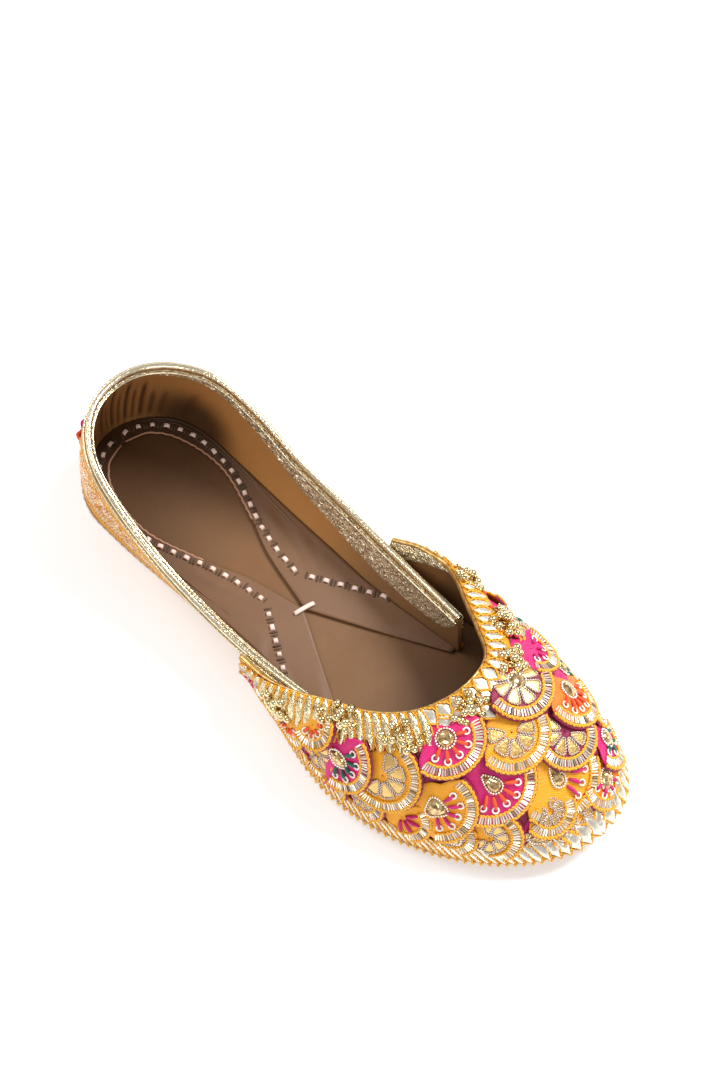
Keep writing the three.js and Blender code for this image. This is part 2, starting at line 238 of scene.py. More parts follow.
class Surface:
    """A curved face as a table of points, even in length along and up, with its outward direction."""

    def __init__(self, place, outward=1, columns=421, rows=91):
        dense = 241
        along = np.linspace(0, 1, columns)
        a, b = np.meshgrid(along, np.linspace(0, 1, dense) ** 1.5, indexing="ij")
        ribs = place(a, b)
        reach = np.linalg.norm(np.diff(ribs, axis=1), axis=2).cumsum(1)
        reach = np.concatenate([np.zeros((columns, 1)), reach], 1)
        self.height = reach[:, -1]
        up = np.linspace(0, 1, rows)
        self.points = np.empty((columns, rows, 3))
        for i in range(columns):
            for k in range(3):
                self.points[i, :, k] = np.interp(up * self.height[i], reach[i], ribs[i, :, k])
        self.by_along = np.gradient(self.points, along, axis=0)
        self.by_up = np.gradient(self.points, up, axis=1)
        self.normals = outward * unit(np.cross(self.by_along, self.by_up))

    def look(self, table, along, up):
        """Value of a table between its points, carried straight on past its edges."""
        i = np.asarray(along, float) * (table.shape[0] - 1)
        j = np.asarray(up, float) * (table.shape[1] - 1)
        i0 = np.clip(i.astype(int), 0, table.shape[0] - 2)
        j0 = np.clip(j.astype(int), 0, table.shape[1] - 2)
        s, t = (i - i0)[..., None], (j - j0)[..., None]
        low = table[i0, j0] * (1 - s) + table[i0 + 1, j0] * s
        high = table[i0, j0 + 1] * (1 - s) + table[i0 + 1, j0 + 1] * s
        return low * (1 - t) + high * t

    def out(self, along, up):
        return unit(self.look(self.normals, np.clip(along, 0, 1), np.clip(up, 0, 1)))

    def at(self, along, up, high=0.0):
        along, up, high = np.broadcast_arrays(*[np.asarray(v, float) for v in (along, up, high)])
        return self.look(self.points, along, up) + self.out(along, up) * high[..., None]

    def size(self, along):
        """Length of a rib from foot to top."""
        return np.interp(along, np.linspace(0, 1, len(self.height)), self.height)

    def below(self, along, drop):
        """The up value that lies a number of mm below the top."""
        return 1 - drop / self.size(along)


vamp_face = Surface(vamp_outer)
quarter_face = Surface(quarter_middle, outward=-1)


class Patch:
    """Lays a flat pattern in mm round one spot of a face. x runs along the face and y runs ahead, which is
    straight down at turn 0 and leans to x as turn grows."""

    def __init__(self, face, along, up, turn=0.0, reach=8.0):
        self.face = face
        self.step = 0.8
        steps = int(reach / self.step) + 2
        angle = np.linspace(-math.pi, math.pi, 49)
        a = np.full(angle.shape, float(along))
        b = np.full(angle.shape, float(up))
        out = face.out(a, b)
        sideways = unit(face.look(face.by_along, a, b))
        down = unit(np.cross(sideways, out))
        down *= -np.sign((down * face.look(face.by_up, a, b)).sum(-1))[:, None]
        lean = (angle + math.radians(turn))[:, None]
        way = np.sin(lean) * sideways + np.cos(lean) * down
        self.spots = np.empty((steps + 1, len(angle), 2))
        self.spots[0] = points(a, b)
        for k in range(1, steps + 1):
            out = face.out(a, b)
            way = unit(way - out * (way * out).sum(-1)[:, None])
            pa, pb = (face.look(t, np.clip(a, 0, 1), np.clip(b, 0, 1)) for t in (face.by_along, face.by_up))
            aa, ab, bb = (pa * pa).sum(-1), (pa * pb).sum(-1), (pb * pb).sum(-1)
            wa, wb = (pa * way).sum(-1), (pb * way).sum(-1)
            scale = self.step / np.maximum(aa * bb - ab * ab, 1e-6)
            a = a + (wa * bb - wb * ab) * scale
            b = b + (wb * aa - wa * ab) * scale
            self.spots[k] = points(a, b)

    def spot(self, x, y):
        """Where on the face a point of the pattern falls: along and up."""
        i = np.hypot(x, y) / self.step
        j = (np.arctan2(x, y) / TAU + 0.5) * (self.spots.shape[1] - 1)
        i0 = np.clip(i.astype(int), 0, self.spots.shape[0] - 2)
        j0 = np.clip(j.astype(int), 0, self.spots.shape[1] - 2)
        s, t = (i - i0)[..., None], (j - j0)[..., None]
        low = self.spots[i0, j0] * (1 - t) + self.spots[i0, j0 + 1] * t
        high = self.spots[i0 + 1, j0] * (1 - t) + self.spots[i0 + 1, j0 + 1] * t
        return np.moveaxis(low * (1 - s) + high * s, -1, 0)

    def at(self, x, y, high=0.0):
        x, y = np.broadcast_arrays(np.asarray(x, float), np.asarray(y, float))
        return self.face.at(*self.spot(x, y), high)


# ---------------------------------------------------------------- sewing shapes into pieces
templates = {}


def template(kind, *sizes):
    """Points and faces of one small shape, made once with Blender's own operator."""
    key = (kind, *sizes)
    if key not in templates:
        mesh = bmesh.new()
        if kind == "grid":
            bmesh.ops.create_grid(mesh, x_segments=sizes[0], y_segments=sizes[1], size=0.5)
        elif kind == "ball":
            bmesh.ops.create_uvsphere(mesh, u_segments=sizes[0], v_segments=sizes[1], radius=1)
        elif kind == "bar":
            bmesh.ops.create_cone(mesh, cap_ends=True, segments=sizes[0], radius1=0.5, radius2=0.5, depth=1)
        mesh.verts.ensure_lookup_table()
        co = np.array([v.co for v in mesh.verts])
        faces = [[v.index for v in face.verts] for face in mesh.faces]
        mesh.free()
        templates[key] = (co, faces)
    return templates[key]


class Piece:
    """One visible piece: small shapes joined into one mesh, each with a material of its own."""

    def __init__(self, name, slot, *finishes):
        self.name, self.slot, self.finishes = name, slot, finishes
        self.points, self.faces, self.finish, self.uvs = [], [], [], []
        self.count = 0

    def add(self, place, faces, finish=0, uv=None):
        """Joins a shape whose points are in mm. A uv is given in mm for each point."""
        place = place.reshape(-1, 3)
        uv = np.zeros((len(place), 2)) if uv is None else uv.reshape(-1, 2)
        self.points.append(place)
        self.uvs.append(uv)
        self.faces += [[i + self.count for i in face] for face in faces]
        self.finish += [finish] * len(faces) if np.isscalar(finish) else list(finish)
        self.count += len(place)

    def rings(self, rings, finish=0, fold="middle", uv=None):
        """A closed skin through rings of points. Its ends fold shut along a wall's middle, or to a point."""
        rings = np.asarray(rings, float)
        if fold == "middle":
            ends = [(r + r[::-1]) / 2 for r in (rings[0], rings[-1])]
        else:
            ends = [np.broadcast_to(r.mean(0), r.shape) for r in (rings[0], rings[-1])]
        rings = np.concatenate([ends[:1], rings, ends[1:]])
        rings = np.concatenate([rings, rings[:, :1]], 1)
        rows, columns = rings.shape[0] - 1, rings.shape[1] - 1
        faces = template("grid", columns, rows)[1]
        along = np.linalg.norm(np.diff(rings.mean(1), axis=0), axis=1).cumsum()
        along = np.concatenate([[0], along])[:, None] + np.zeros(columns + 1)
        around = np.linalg.norm(np.diff(rings, axis=1), axis=2).cumsum(1)
        around = np.concatenate([np.zeros((rows + 1, 1)), around], 1)
        if not np.isscalar(finish):
            finish = np.tile(finish, rows)
        flat = points(along, around)
        if uv is not None:
            flat = np.concatenate([uv[:1], uv, uv[-1:]])
            flat = np.concatenate([flat, flat[:, :1]], 1)
        self.add(rings, faces, finish, flat)

    def cord(self, path, out, radius, finish=0, sides=6, flat=1.0):
        """A round cord along a path. Radius may change along it; flat under 1 presses it down."""
        path = np.asarray(path, float)
        out = unit(np.broadcast_to(np.asarray(out, float), path.shape))
        side = unit(np.cross(out, np.gradient(path, axis=0)))
        turn = np.arange(sides) / sides * TAU
        radius = np.broadcast_to(radius, len(path))[:, None, None]
        ring = np.cos(turn)[:, None] * side[:, None] + flat * np.sin(turn)[:, None] * out[:, None]
        self.rings(path[:, None] + radius * ring, finish, fold="point")

    def ball(self, centre, radius, finish=0, sides=(10, 7)):
        co, faces = template("ball", *sides)
        self.add(centre + co * radius, faces, finish)

    def put(self, shape, centre, right, ahead, out, size, finish=0):
        """A small shape placed by its three directions, scaled by size."""
        co, faces = shape
        co = co * size
        self.add(centre + co[:, :1] * right + co[:, 1:2] * ahead + co[:, 2:] * out, faces, finish)

    def sew(self, smooth=True, replaces=()):
        mesh = bpy.data.meshes.new(self.name)
        place = (np.concatenate(self.points) - FRAME_CENTRE) * MM
        uvs = np.concatenate(self.uvs) * MM
        corners = np.fromiter((i for face in self.faces for i in face), int)
        sizes = np.fromiter((len(face) for face in self.faces), int)
        mesh.vertices.add(len(place))
        mesh.vertices.foreach_set("co", place.ravel())
        mesh.loops.add(len(corners))
        mesh.loops.foreach_set("vertex_index", corners)
        mesh.polygons.add(len(sizes))
        mesh.polygons.foreach_set("loop_start", np.concatenate([[0], np.cumsum(sizes)[:-1]]))
        mesh.polygons.foreach_set("material_index", np.asarray(self.finish, int))
        mesh.uv_layers.new(name="UVMap").data.foreach_set("uv", uvs[corners].ravel())
        mesh.update(calc_edges=True)
        for finish in self.finishes:
            mesh.materials.append(finish)
        work = bmesh.new()
        work.from_mesh(mesh)
        bmesh.ops.remove_doubles(work, verts=work.verts, dist=WELD * MM)
        flat = [face for face in work.faces if face.calc_area() < 1e-14]
        bmesh.ops.delete(work, geom=flat, context="FACES")
        bmesh.ops.recalc_face_normals(work, faces=work.faces)
        for face in work.faces:
            face.smooth = smooth
        work.to_mesh(mesh)
        work.free()
        thing = bpy.data.objects.new(self.name, mesh)
        bpy.context.scene.collection.objects.link(thing)
        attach(thing, "root")
        if replaces:
            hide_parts(*replaces)
        return thing


# ---------------------------------------------------------------- finishes
def colour(code):
    """Linear colour of an sRGB hex value."""
    parts = [int(code[i:i + 2], 16) / 255 for i in (0, 2, 4)]
    return (*[c / 12.92 if c <= 0.04045 else ((c + 0.055) / 1.055) ** 2.4 for c in parts], 1)


def join(tree, made, links):
    """Sets a node's inputs, each to a value or to another node's output."""
    for key, value in links.items():
        if isinstance(value, bpy.types.NodeSocket):
            tree.links.new(value, made.inputs[key])
        else:
            made.inputs[key].default_value = value


def node(tree, kind, links, **settings):
    """Adds one node with its settings and links."""
    made = tree.nodes.new(kind)
    for key, value in settings.items():
        setattr(made, key, value)
    join(tree, made, links)
    return made


def new_finish(name, **shader):
    """A new material: gives its tree, its shader and the place on the shoe."""
    material = bpy.data.materials.new(name)
    material.use_nodes = True
    tree = material.node_tree
    body = tree.nodes["Principled BSDF"]
    join(tree, body, {key.replace("_", " "): value for key, value in shader.items()})
    return material, tree, body, node(tree, "ShaderNodeTexCoord", {})


def per(mm):
    """Texture scale for a pattern that repeats every so many mm."""
    return 1 / (mm * MM)


# how far painted shade darkens leather behind and ahead of its shade line, and where its colour goes dull,
# in mm from the heel
SHADE_BEHIND, SHADE_AHEAD = 45, 25
DULL_FROM, DULL_TO = 85, 130
CREASE_DEPTHS = (0.1, 0.9)
# colours of the painted shadow in the heel corner and of the painted shade in the lining's creases
CORNER_SHADOW, CREASE_SHADE = "23140A", "2E1B0C"


def leather(name, dark, light, grain=0.5, roughness=0.5, mottle=18.0, shade_x=None, shade="3E2712",
            shadow_spot=None, dull=None):
    """Smooth drum-dyed leather: fine grain, cloudy colour, dull sheen. Painted shade darkens it behind
    shade_x.

    With a shadow spot it also takes painted shadow round that spot, given by its place and radius, and
    painted shade in creases, whose depth is the u of its uv. It takes the dull colour towards the front."""
    material, tree, body, coord = new_finish(name, Roughness=roughness, IOR=1.45)
    place = coord.outputs["Object"]
    cloud = node(tree, "ShaderNodeTexNoise", {"Vector": place, "Scale": per(mottle), "Detail": 4.0})
    tint = node(tree, "ShaderNodeMix", {0: cloud.outputs["Fac"], 6: colour(dark), 7: colour(light)},
                data_type="RGBA").outputs[2]
    x = node(tree, "ShaderNodeSeparateXYZ", {"Vector": place}).outputs["X"]
    fades = []
    if shade_x is not None:
        # painted shade, darker behind the shade line towards the heel
        behind, ahead = (shade_x + off - FRAME_CENTRE[0] for off in (-SHADE_BEHIND, SHADE_AHEAD))
        fades.append((x, behind, ahead, 1.0, 0.0, shade, "SMOOTHSTEP"))
    if shadow_spot is not None:
        spot, radius = shadow_spot
        centre = tuple((np.array(spot) - FRAME_CENTRE) * MM)
        away = node(tree, "ShaderNodeVectorMath", {0: place, 1: centre}, operation="DISTANCE")
        creased = node(tree, "ShaderNodeSeparateXYZ", {"Vector": coord.outputs["UV"]}).outputs["X"]
        start, end = DULL_FROM - FRAME_CENTRE[0], DULL_TO - FRAME_CENTRE[0]
        fades.append((x, start, end, 0.0, 0.9, dull, "SMOOTHSTEP"))
        # painted shadow round the spot in the heel corner
        fades.append((away.outputs["Value"], radius * 0.3, radius, 0.85, 0.0, CORNER_SHADOW, "SMOOTHSTEP"))
        # painted shade in the creases, darker where they are deeper
        fades.append((creased, *CREASE_DEPTHS, 0.0, 0.8, CREASE_SHADE, "LINEAR"))
    for value, start, end, low, high, code, easing in fades:
        ends = {"From Min": start * MM, "From Max": end * MM, "To Min": low, "To Max": high}
        fade = node(tree, "ShaderNodeMapRange", {"Value": value, **ends}, interpolation_type=easing)
        shares = {0: fade.outputs["Result"], 6: tint, 7: colour(code)}
        tint = node(tree, "ShaderNodeMix", shares, data_type="RGBA").outputs[2]
    pores = node(tree, "ShaderNodeTexVoronoi", {"Vector": place, "Scale": per(grain)})
    fine = node(tree, "ShaderNodeBump", {"Height": pores.outputs["Distance"], "Distance": 0.05 * MM,
                                         "Strength": 0.5})
    waves = node(tree, "ShaderNodeTexNoise", {"Vector": place, "Scale": per(7.0), "Detail": 3.0})
    wide = node(tree, "ShaderNodeBump", {"Height": waves.outputs["Fac"], "Distance": 0.3 * MM,
                                         "Strength": 0.35, "Normal": fine.outputs["Normal"]})
    join(tree, body, {"Base Color": tint, "Normal": wide.outputs["Normal"]})
    return material


def foil(name, tint, deep, roughness, crinkle, depth, metallic=1.0, crisp=False):
    """Metal foil on leather: bright metal that creases into small facets, with painted shade in the folds.
    """
    material, tree, body, coord = new_finish(name, Metallic=metallic, Roughness=roughness)
    place = coord.outputs["Object"]
    folds = node(tree, "ShaderNodeTexVoronoi", {"Vector": place, "Scale": per(crinkle)}, feature="SMOOTH_F1")
    fine = node(tree, "ShaderNodeTexNoise", {"Vector": place, "Scale": per(crinkle * 0.6), "Detail": 4.0})
    share = fine.outputs["Fac"]
    if crisp:
        sharper = node(tree, "ShaderNodeMapRange", {"Value": share, "From Min": 0.38, "From Max": 0.5})
        share = sharper.outputs["Result"]
    tone = node(tree, "ShaderNodeMix", {0: share, 6: colour(deep), 7: colour(tint)}, data_type="RGBA")
    facets = node(tree, "ShaderNodeBump", {"Height": folds.outputs["Distance"], "Distance": depth * MM,
                                           "Strength": 0.9})
    creases = node(tree, "ShaderNodeBump", {"Height": fine.outputs["Fac"], "Distance": depth * MM,
                                            "Strength": 0.6, "Normal": facets.outputs["Normal"]})
    join(tree, body, {"Base Color": tone.outputs[2], "Normal": creases.outputs["Normal"]})
    return material


def ribbed(name, tint, deep, pitch, slant, depth, strength, wave, **shader):
    """Cloth or cord whose slanting ribs catch light, with painted shade in the deep colour between them.
    Each rib is as wide as the pitch in mm on its uv.
    """
    material, tree, body, coord = new_finish(name, **shader)
    turned = node(tree, "ShaderNodeMapping", {"Vector": coord.outputs["UV"], "Rotation": (0, 0, slant)})
    pattern = {"Vector": turned.outputs["Vector"], "Scale": per(pitch) * TAU / 20, **wave}
    ribs = node(tree, "ShaderNodeTexWave", pattern).outputs["Fac"]
    tone = node(tree, "ShaderNodeMix", {0: ribs, 6: colour(deep), 7: colour(tint)}, data_type="RGBA")
    relief = node(tree, "ShaderNodeBump", {"Height": ribs, "Distance": depth * MM, "Strength": strength})
    join(tree, body, {"Base Color": tone.outputs[2], "Normal": relief.outputs["Normal"]})
    return material


def silk(name, tint, deep, weave=0.7):
    """Silk cloth or thread: fine diagonal twill with a faint sheen. Its ribs are wide enough to show."""
    wave = {"Distortion": 0.8, "Detail": 1.0}
    return ribbed(name, tint, deep, weave, 0.8, 0.12, 0.6, wave, Roughness=0.55, Sheen_Weight=0.06)


def twisted(name, tint, deep, pitch, metallic=0.0, roughness=0.5):
    """Twisted cord: slanting strands along its length."""
    return ribbed(name, tint, deep, pitch, 0.7, 0.25, 0.9, {}, Roughness=roughness, Metallic=metallic)


def plain(name, tint, deep, cloud=2.5, **shader):
    """One even finish, a little deeper in places and with a faint unevenness under its gloss."""
    material, tree, body, coord = new_finish(name, **shader)
    place = coord.outputs["Object"]
    clouds = node(tree, "ShaderNodeTexNoise", {"Vector": place, "Scale": per(cloud), "Detail": 3.0})
    uneven = clouds.outputs["Fac"]
    share = node(tree, "ShaderNodeMapRange", {"Value": uneven, "From Min": 0.35, "From Max": 0.65})
    tone = node(tree, "ShaderNodeMix", {0: share.outputs["Result"], 6: colour(deep), 7: colour(tint)},
                data_type="RGBA")
    relief = node(tree, "ShaderNodeBump", {"Height": uneven, "Distance": 0.04 * MM, "Strength": 0.5})
    join(tree, body, {"Base Color": tone.outputs[2], "Normal": relief.outputs["Normal"]})
    return material


SOLE_LEATHER = leather("vegetable tanned sole leather", "9C6E3C", "C3965C", roughness=0.6)
# the insole and the flap lining carry painted shade towards the heel, behind shade_x
INSOLE_LEATHER = leather("brown insole leather", "6A4728", "7E5A38", roughness=0.42, shade_x=70,
                         shade="50351B")
FLAP_LEATHER = leather("brown lining leather", "6B4B33", "7B5A40", shade_x=62)
# the painted shadow in the corner of the heel: its place and radius
HEEL_CORNER = ((24, 25, 9), 27)
# dark bars at the stitch slits: painted shadow where the thong goes into the leather
SLIT_SHADOW = leather("painted shadow of the stitch slits", "3F2C1F", "54402F", roughness=0.6)
# the lining has painted shade at the back of the heel, a painted shadow in the heel corner and painted shade
# in its creases
LINING_LEATHER = leather("camel lining leather", "A9753F", "C08A50", mottle=30, shade_x=12, shadow_spot=HEEL_CORNER,
                         dull="7F5D3D")
VAMP_LINING = leather("brown vamp lining leather", "74512F", "8A613A")
RAW_EDGE = leather("raw cut leather edge", "9C7258", "B98E74", grain=0.4, roughness=0.7)
RAW_LEATHER = leather("pale raw leather lace", "D8BDB0", "EFDCD2", grain=0.3, roughness=0.6)
# foils get painted shade in their folds; the crinkled foil's strong contrast adds painted reflections
GOLD_FOIL = foil("smooth gold foil leather", "F8EDD2", "D8C298", 0.2, 1.0, 0.16)
CRINKLED_FOIL = foil("crinkled gold foil leather", "FFF6DC", "8A6830", 0.18, 1.0, 0.5, metallic=0.75,
                     crisp=True)
GOLD_EDGE = plain("gold edge binding", "EBC27A", "B98A44", 1.6, Metallic=0.85, Roughness=0.28)
QUARTER_CLOTH = silk("gold and marigold embroidery", "D99E48", "8F5C24", 0.8)
VAMP_CLOTH = silk("maroon silk felt ground", "A01548", "6E0E30", 0.8)

MARIGOLD_CORD = twisted("marigold silk cord", "FFBE2E", "D98A10", 1.1)
BEAD_WIRE = twisted("pinkish silver bead wire", "F3E2D4", "8C6A4E", 0.8, metallic=0.5, roughness=0.3)
MAGENTA_CLOTH = silk("magenta silk twill", "E6107C", "B80A58")
YELLOW_CLOTH = silk("marigold silk twill", "FFB41C", "DC8C08")
MAROON_CLOTH = silk("maroon silk felt", "A00F4E", "700A34")
ORANGE_CLOTH = silk("orange silk twill", "FF8A1E", "D8600C")
ORANGE_THREAD = silk("orange silk thread", "FF5F22", "D84210", 0.3)
MAGENTA_THREAD = silk("magenta silk thread", "E0127C", "A80A54", 0.3)
GREEN_THREAD = silk("green silk thread", "0A7A5C", "055040", 0.3)
GOLD_STITCH = plain("gold thread stitches", "F0D298", "B98A48", Metallic=0.65, Roughness=0.3)
PINK_GOLD_STITCH = plain("pink gold thread stitches", "F4DDC8", "C79A7E", Metallic=0.6, Roughness=0.28)
SILVER_WIRE = plain("bright silver wire", "FFFAEE", "EEE0C4", Metallic=0.8, Roughness=0.24)
# a darker copy of the silver wire, for painted shade on some of the bars
DARK_SILVER = plain("shaded silver wire", "C6BAA0", "9C8F76", Metallic=0.9, Roughness=0.22)
PEARL_SEQUIN = plain("pearl white sequin", "FAF5EC", "EBDCCB", Roughness=0.25, Coat_Weight=0.5)
# these ribbons are foils too, with painted shade in their folds
GOLD_TISSUE = foil("woven gold tissue", "F6D58E", "CF9F58", 0.4, 0.8, 0.14)
WHITE_SATIN = foil("silver white satin ribbon", "F8F2E6", "D3C8B2", 0.34, 1.8, 0.12)
CRINKLED_SILVER = foil("crinkled silver gold ribbon", "FAEFD2", "B59C64", 0.24, 1.0, 0.35)
# its dark and light patches are painted reflections of the stone's facets
CHAMPAGNE_STONE = plain("champagne glass stone", "EACB98", "8E6A3E", 1.4, Metallic=0.8, Roughness=0.06)
GOLD_BEAD = plain("polished pale gold bead", "F0DDB0", "CDB27E", 3.0, Metallic=1.0, Roughness=0.1)
BEAD_RING = plain("dull gold ring bead", "C8A868", "927440", Metallic=1.0, Roughness=0.25)
GOLD_BAND = plain("smooth beige gold leather", "E8D8B8", "D2BC92", 4.0, Metallic=0.6, Roughness=0.34)
PALE_GOLD_LOOP = plain("pale gold loop thread", "F9CF6E", "E5A536", Roughness=0.45)


# ---------------------------------------------------------------- pieces
def plate_rings(bottom, thickness, inset, rounding):
    """Sections of a sole plate from heel to toe, with rounded edges."""
    stations = 150
    turn = math.pi * (np.arange(stations) + 0.5) / stations
    x = inset + (SOLE_LENGTH - 2 * inset) * (1 - np.cos(turn)) / 2
    half = half_width(x, inset)
    across = np.linspace(-1, 1, 13)[1:-1]
    top = bottom + thickness
    angles = np.linspace(0, math.pi / 2, 5)
    corner = [(rounding * (1 - math.sin(a)), rounding * (1 - math.cos(a))) for a in angles]
    edges = [(s, bottom + c) for s, c in corner] + [(c, top - s) for s, c in corner]
    shape = [(-1, *pair) for pair in edges] + [(c, None, top) for c in across]
    shape += [(1, *pair) for pair in edges[::-1]] + [(c, None, bottom) for c in across[::-1]]
    rings = []
    for side, cut, z in shape:
        cut = np.minimum(rounding, half / 3) * (1 if cut is None else cut / rounding)
        rings.append(points(x, middle(x) + side * (half - cut), z + lift(x)))
    return np.stack(rings, 1)


def make_sole():
    outsole = Piece("outsole_leather", "sole_leather", SOLE_LEATHER)
    outsole.rings(plate_rings(0, OUTSOLE_THICKNESS, 0, 0.7), fold="point")
    outsole.sew(replaces=["outsole"])
    insole = Piece("insole_board", "insole_leather", INSOLE_LEATHER)
    insole.rings(plate_rings(INSOLE_BOTTOM, INSOLE_THICKNESS, INSOLE_INSET, 0.5), fold="point")
    insole.sew(replaces=["insole"])


def wall_rings(face, stations, rows, outside, inside, wrinkle=None):
    """Sections of a wall, up its outer side and down its inner side, at two distances from a face.

    The second value is the uv: mm along and up the outer side, and the depth of the wrinkles in mm on the
    inner side, by which the lining leather paints shade in its creases."""
    along = np.linspace(0, 1, stations)[:, None]
    up = np.linspace(0, 1, rows)[None]
    outer = face.at(along, up, outside)
    press = wrinkle(along, up) if wrinkle else 0 * (along + up)
    inner = face.at(along, up, inside + press)
    foot = face.at(along, 0 * up)[..., 2]
    inner[..., 2] = np.maximum(inner[..., 2], foot)
    length = np.linalg.norm(np.diff(outer[:, 0], axis=0), axis=1).sum()
    flat = points(along * length, up * face.size(along))
    uv = np.concatenate([flat, points(press, 0 * press)[:, ::-1]], 1)
    return np.concatenate([outer, inner[:, ::-1]], 1), uv


# creases of the heel lining: mm round from the back of the heel, lean up the wall, width, depth, top
HEEL_CREASES = [
    (-25, 2, 2.0, 0.35, 0.55), (-14, 1, 1.6, 0.45, 0.6), (-6, 2, 1.3, 0.8, 0.8), (-1.5, -1, 1.2, 0.7, 0.55),
    (3, 1, 1.4, 0.9, 0.85), (7.5, 2, 1.2, 0.8, 0.6), (12, 3, 1.4, 1.0, 0.8), (16.5, 3, 1.3, 0.9, 0.6),
    (21.5, 4, 1.6, 1.0, 0.7), (27, 5, 1.7, 0.8, 0.5), (33, 6, 2.2, 0.6, 0.5), (46, 14, 3, 0.4, 0.6),
    (-44, -14, 3, 0.3, 0.6),
]


# about how long the quarter is, from wing round the heel to wing, in mm
QUARTER_ROUND = 372


def heel_wrinkle(at, up):
    """Soft upright troughs pressed in the lining at the back of the heel."""
    mm_round = (at - 0.5) * QUARTER_ROUND
    total = 0 * (at + up)
    for centre, lean, width, depth, reach in HEEL_CREASES:
        off = (mm_round - centre - lean * up) / width
        fade = ease((reach + 0.12 - up) / 0.3) * ease(up / 0.1)
        total = total + depth * fade * (np.exp(-off**2) - 0.6 * np.exp(-((off - 1.7) ** 2)))
    return total


def make_quarter():
    rows = 30
    half = QUARTER_WALL / 2
    wall = Piece("quarter_wall", "quarter_cloth", QUARTER_CLOTH, LINING_LEATHER)
    sides = [0] * rows + [1] * rows
    rings, uv = wall_rings(quarter_face, 520, rows, half, -half, wrinkle=heel_wrinkle)
    wall.rings(rings, sides, uv=uv)
    wall.sew(replaces=["quarter"])

    piping = Piece("topline_gold_piping", "gold_piping", GOLD_FOIL)
    at = np.linspace(0, 1, 260)
    line = rim(at)
    piping.cord(line, UP, PIPING_RADIUS, sides=12)
    for drop, stand, radius in ((0.9, -1.75, 0.5), (-0.1, 1.75, 0.5), (1.6, 1.45, 0.45)):
        ridge = quarter_face.at(at, quarter_face.below(at, drop), stand)
        piping.cord(ridge, quarter_face.out(at, 1 + 0 * at), radius, sides=6)
    piping.sew(replaces=["topline_piping"])


def make_vamp():
    rows = 26
    wall = Piece("vamp_wall", "vamp_cloth", VAMP_CLOTH, VAMP_LINING)
    rings, uv = wall_rings(vamp_face, 220, rows, 0, -VAMP_WALL)
    wall.rings(rings, [0] * rows + [1] * rows, uv=uv)
    wall.sew(replaces=["vamp"])


# creases of the turned-in lining on the far side, mirrored to the near side: two ends, width, depth
FLAP_CREASES = [
    ((103, 12), (70, 23), 2.2, 0.35), ((106, 14), (88, 25), 1.8, 0.3), ((98, 10), (62, 18), 1.8, 0.25),
    ((112, 16), (118, 25), 2.2, 0.25), ((124, 20), (140, 27), 2.5, 0.25), ((60, 17), (38, 25), 2.4, 0.3),
    ((30, 19), (24, 25), 1.6, 0.25), ((132, 10), (152, 22), 2.2, 0.2),
]


def flap_crease(x, y):
    """Soft troughs and ridges where the turned-in lining was pulled to the crossing."""
    total = 0 * (x + y)
    for start, end, width, depth in FLAP_CREASES:
        a, b = np.array(start, float), np.array(end, float)
        ahead = (b - a) / np.linalg.norm(b - a)
        px, py = x - a[0], np.abs(y) - a[1]
        t = np.clip((px * ahead[0] + py * ahead[1]) / np.linalg.norm(b - a), 0, 1)
        across = (-px * ahead[1] + py * ahead[0]) / width
        fade = np.sin(math.pi * np.clip(t, 0.02, 0.98)) ** 0.6 * (t > 0) * (t < 1)
        total = total - depth * fade * (np.exp(-(across**2)) - 0.7 * np.exp(-((across - 1.6) ** 2)))
    return total


def make_flap():
    flap = Piece("turned_in_lining", "lining_leather", FLAP_LEATHER)
    at = np.linspace(0.004, 0.996, 200)
    inward = -quarter_face.out(at, 0 * at)
    inward[:, 2] = 0
    outer = quarter_middle(at, 0 * at) + unit(inward) * (QUARTER_WALL / 2 + 0.1)
    back = outer[:, 0].min()
    cross = WINDOW[-1][0]
    x = np.where(outer[:, 0] > cross, outer[:, 0],
                 WINDOW[0][0] + (cross - WINDOW[0][0]) * (outer[:, 0] - back) / (cross - back))
    front = WINDOW[-1][1] + (x - cross) / (FLAP_FRONT[0] - cross) * (FLAP_FRONT[1] - WINDOW[-1][1])
    half = np.where(x <= cross, read(WINDOW, 1, x), front)
    inner = points(x, np.sign(at - 0.5) * half, 0)
    low, top = WALL_FOOT, WALL_FOOT + FLAP_THICKNESS
    ring = []
    steps = [(s, top) for s in np.linspace(0.05, 0.97, 26)]
    for share, z in ((0, low), (0, top), *steps, (1, top - 0.3), (1, low)):
        p = outer + (inner - outer) * share
        press = flap_crease(p[:, 0], p[:, 1]) if z == top else 0
        ring.append(points(p[:, 0], p[:, 1], z + press + lift(p[:, 0])))
    flap.rings(np.stack(ring, 1), fold="point")
    fold = Piece("lining_fold_ridges", "lining_leather", FLAP_LEATHER)
    for share, radius, reach in ((0.10, 0.8, 78), (0.2, 0.6, 96)):
        for side in (-1, 1):
            near = np.flatnonzero((np.sign(at - 0.5) == side) & (outer[:, 0] < reach))
            bow = share + 0.05 * np.sin(outer[near, 0] / 17 + share * 30)
            line = outer[near] + (inner[near] - outer[near]) * bow[:, None]
            line[:, 2] = top - 0.05 + lift(line[:, 0])
            swell = 0.03 + radius * ease((reach - line[:, 0]) / 25) * ease((line[:, 0] - 6) / 10)
            fold.cord(line, UP, swell, sides=8, flat=0.7)
    fold.sew()
    raw = Piece("flap_raw_edge", "lining_leather", RAW_EDGE)
    for side in (-1, 1):
        x = np.linspace(WINDOW[0][0] + 0.3, 70, 90)
        y = side * (read(WINDOW, 1, x) + 0.1 + 0.15 * np.sin(x * 1.9) + 0.1 * np.sin(x * 4.3))
        line = points(x, y, top - 0.15 + lift(x))
        raw.cord(line, UP, 0.42, 0, sides=6)
    raw.sew()
    flap.sew(replaces=["lining_flap"])


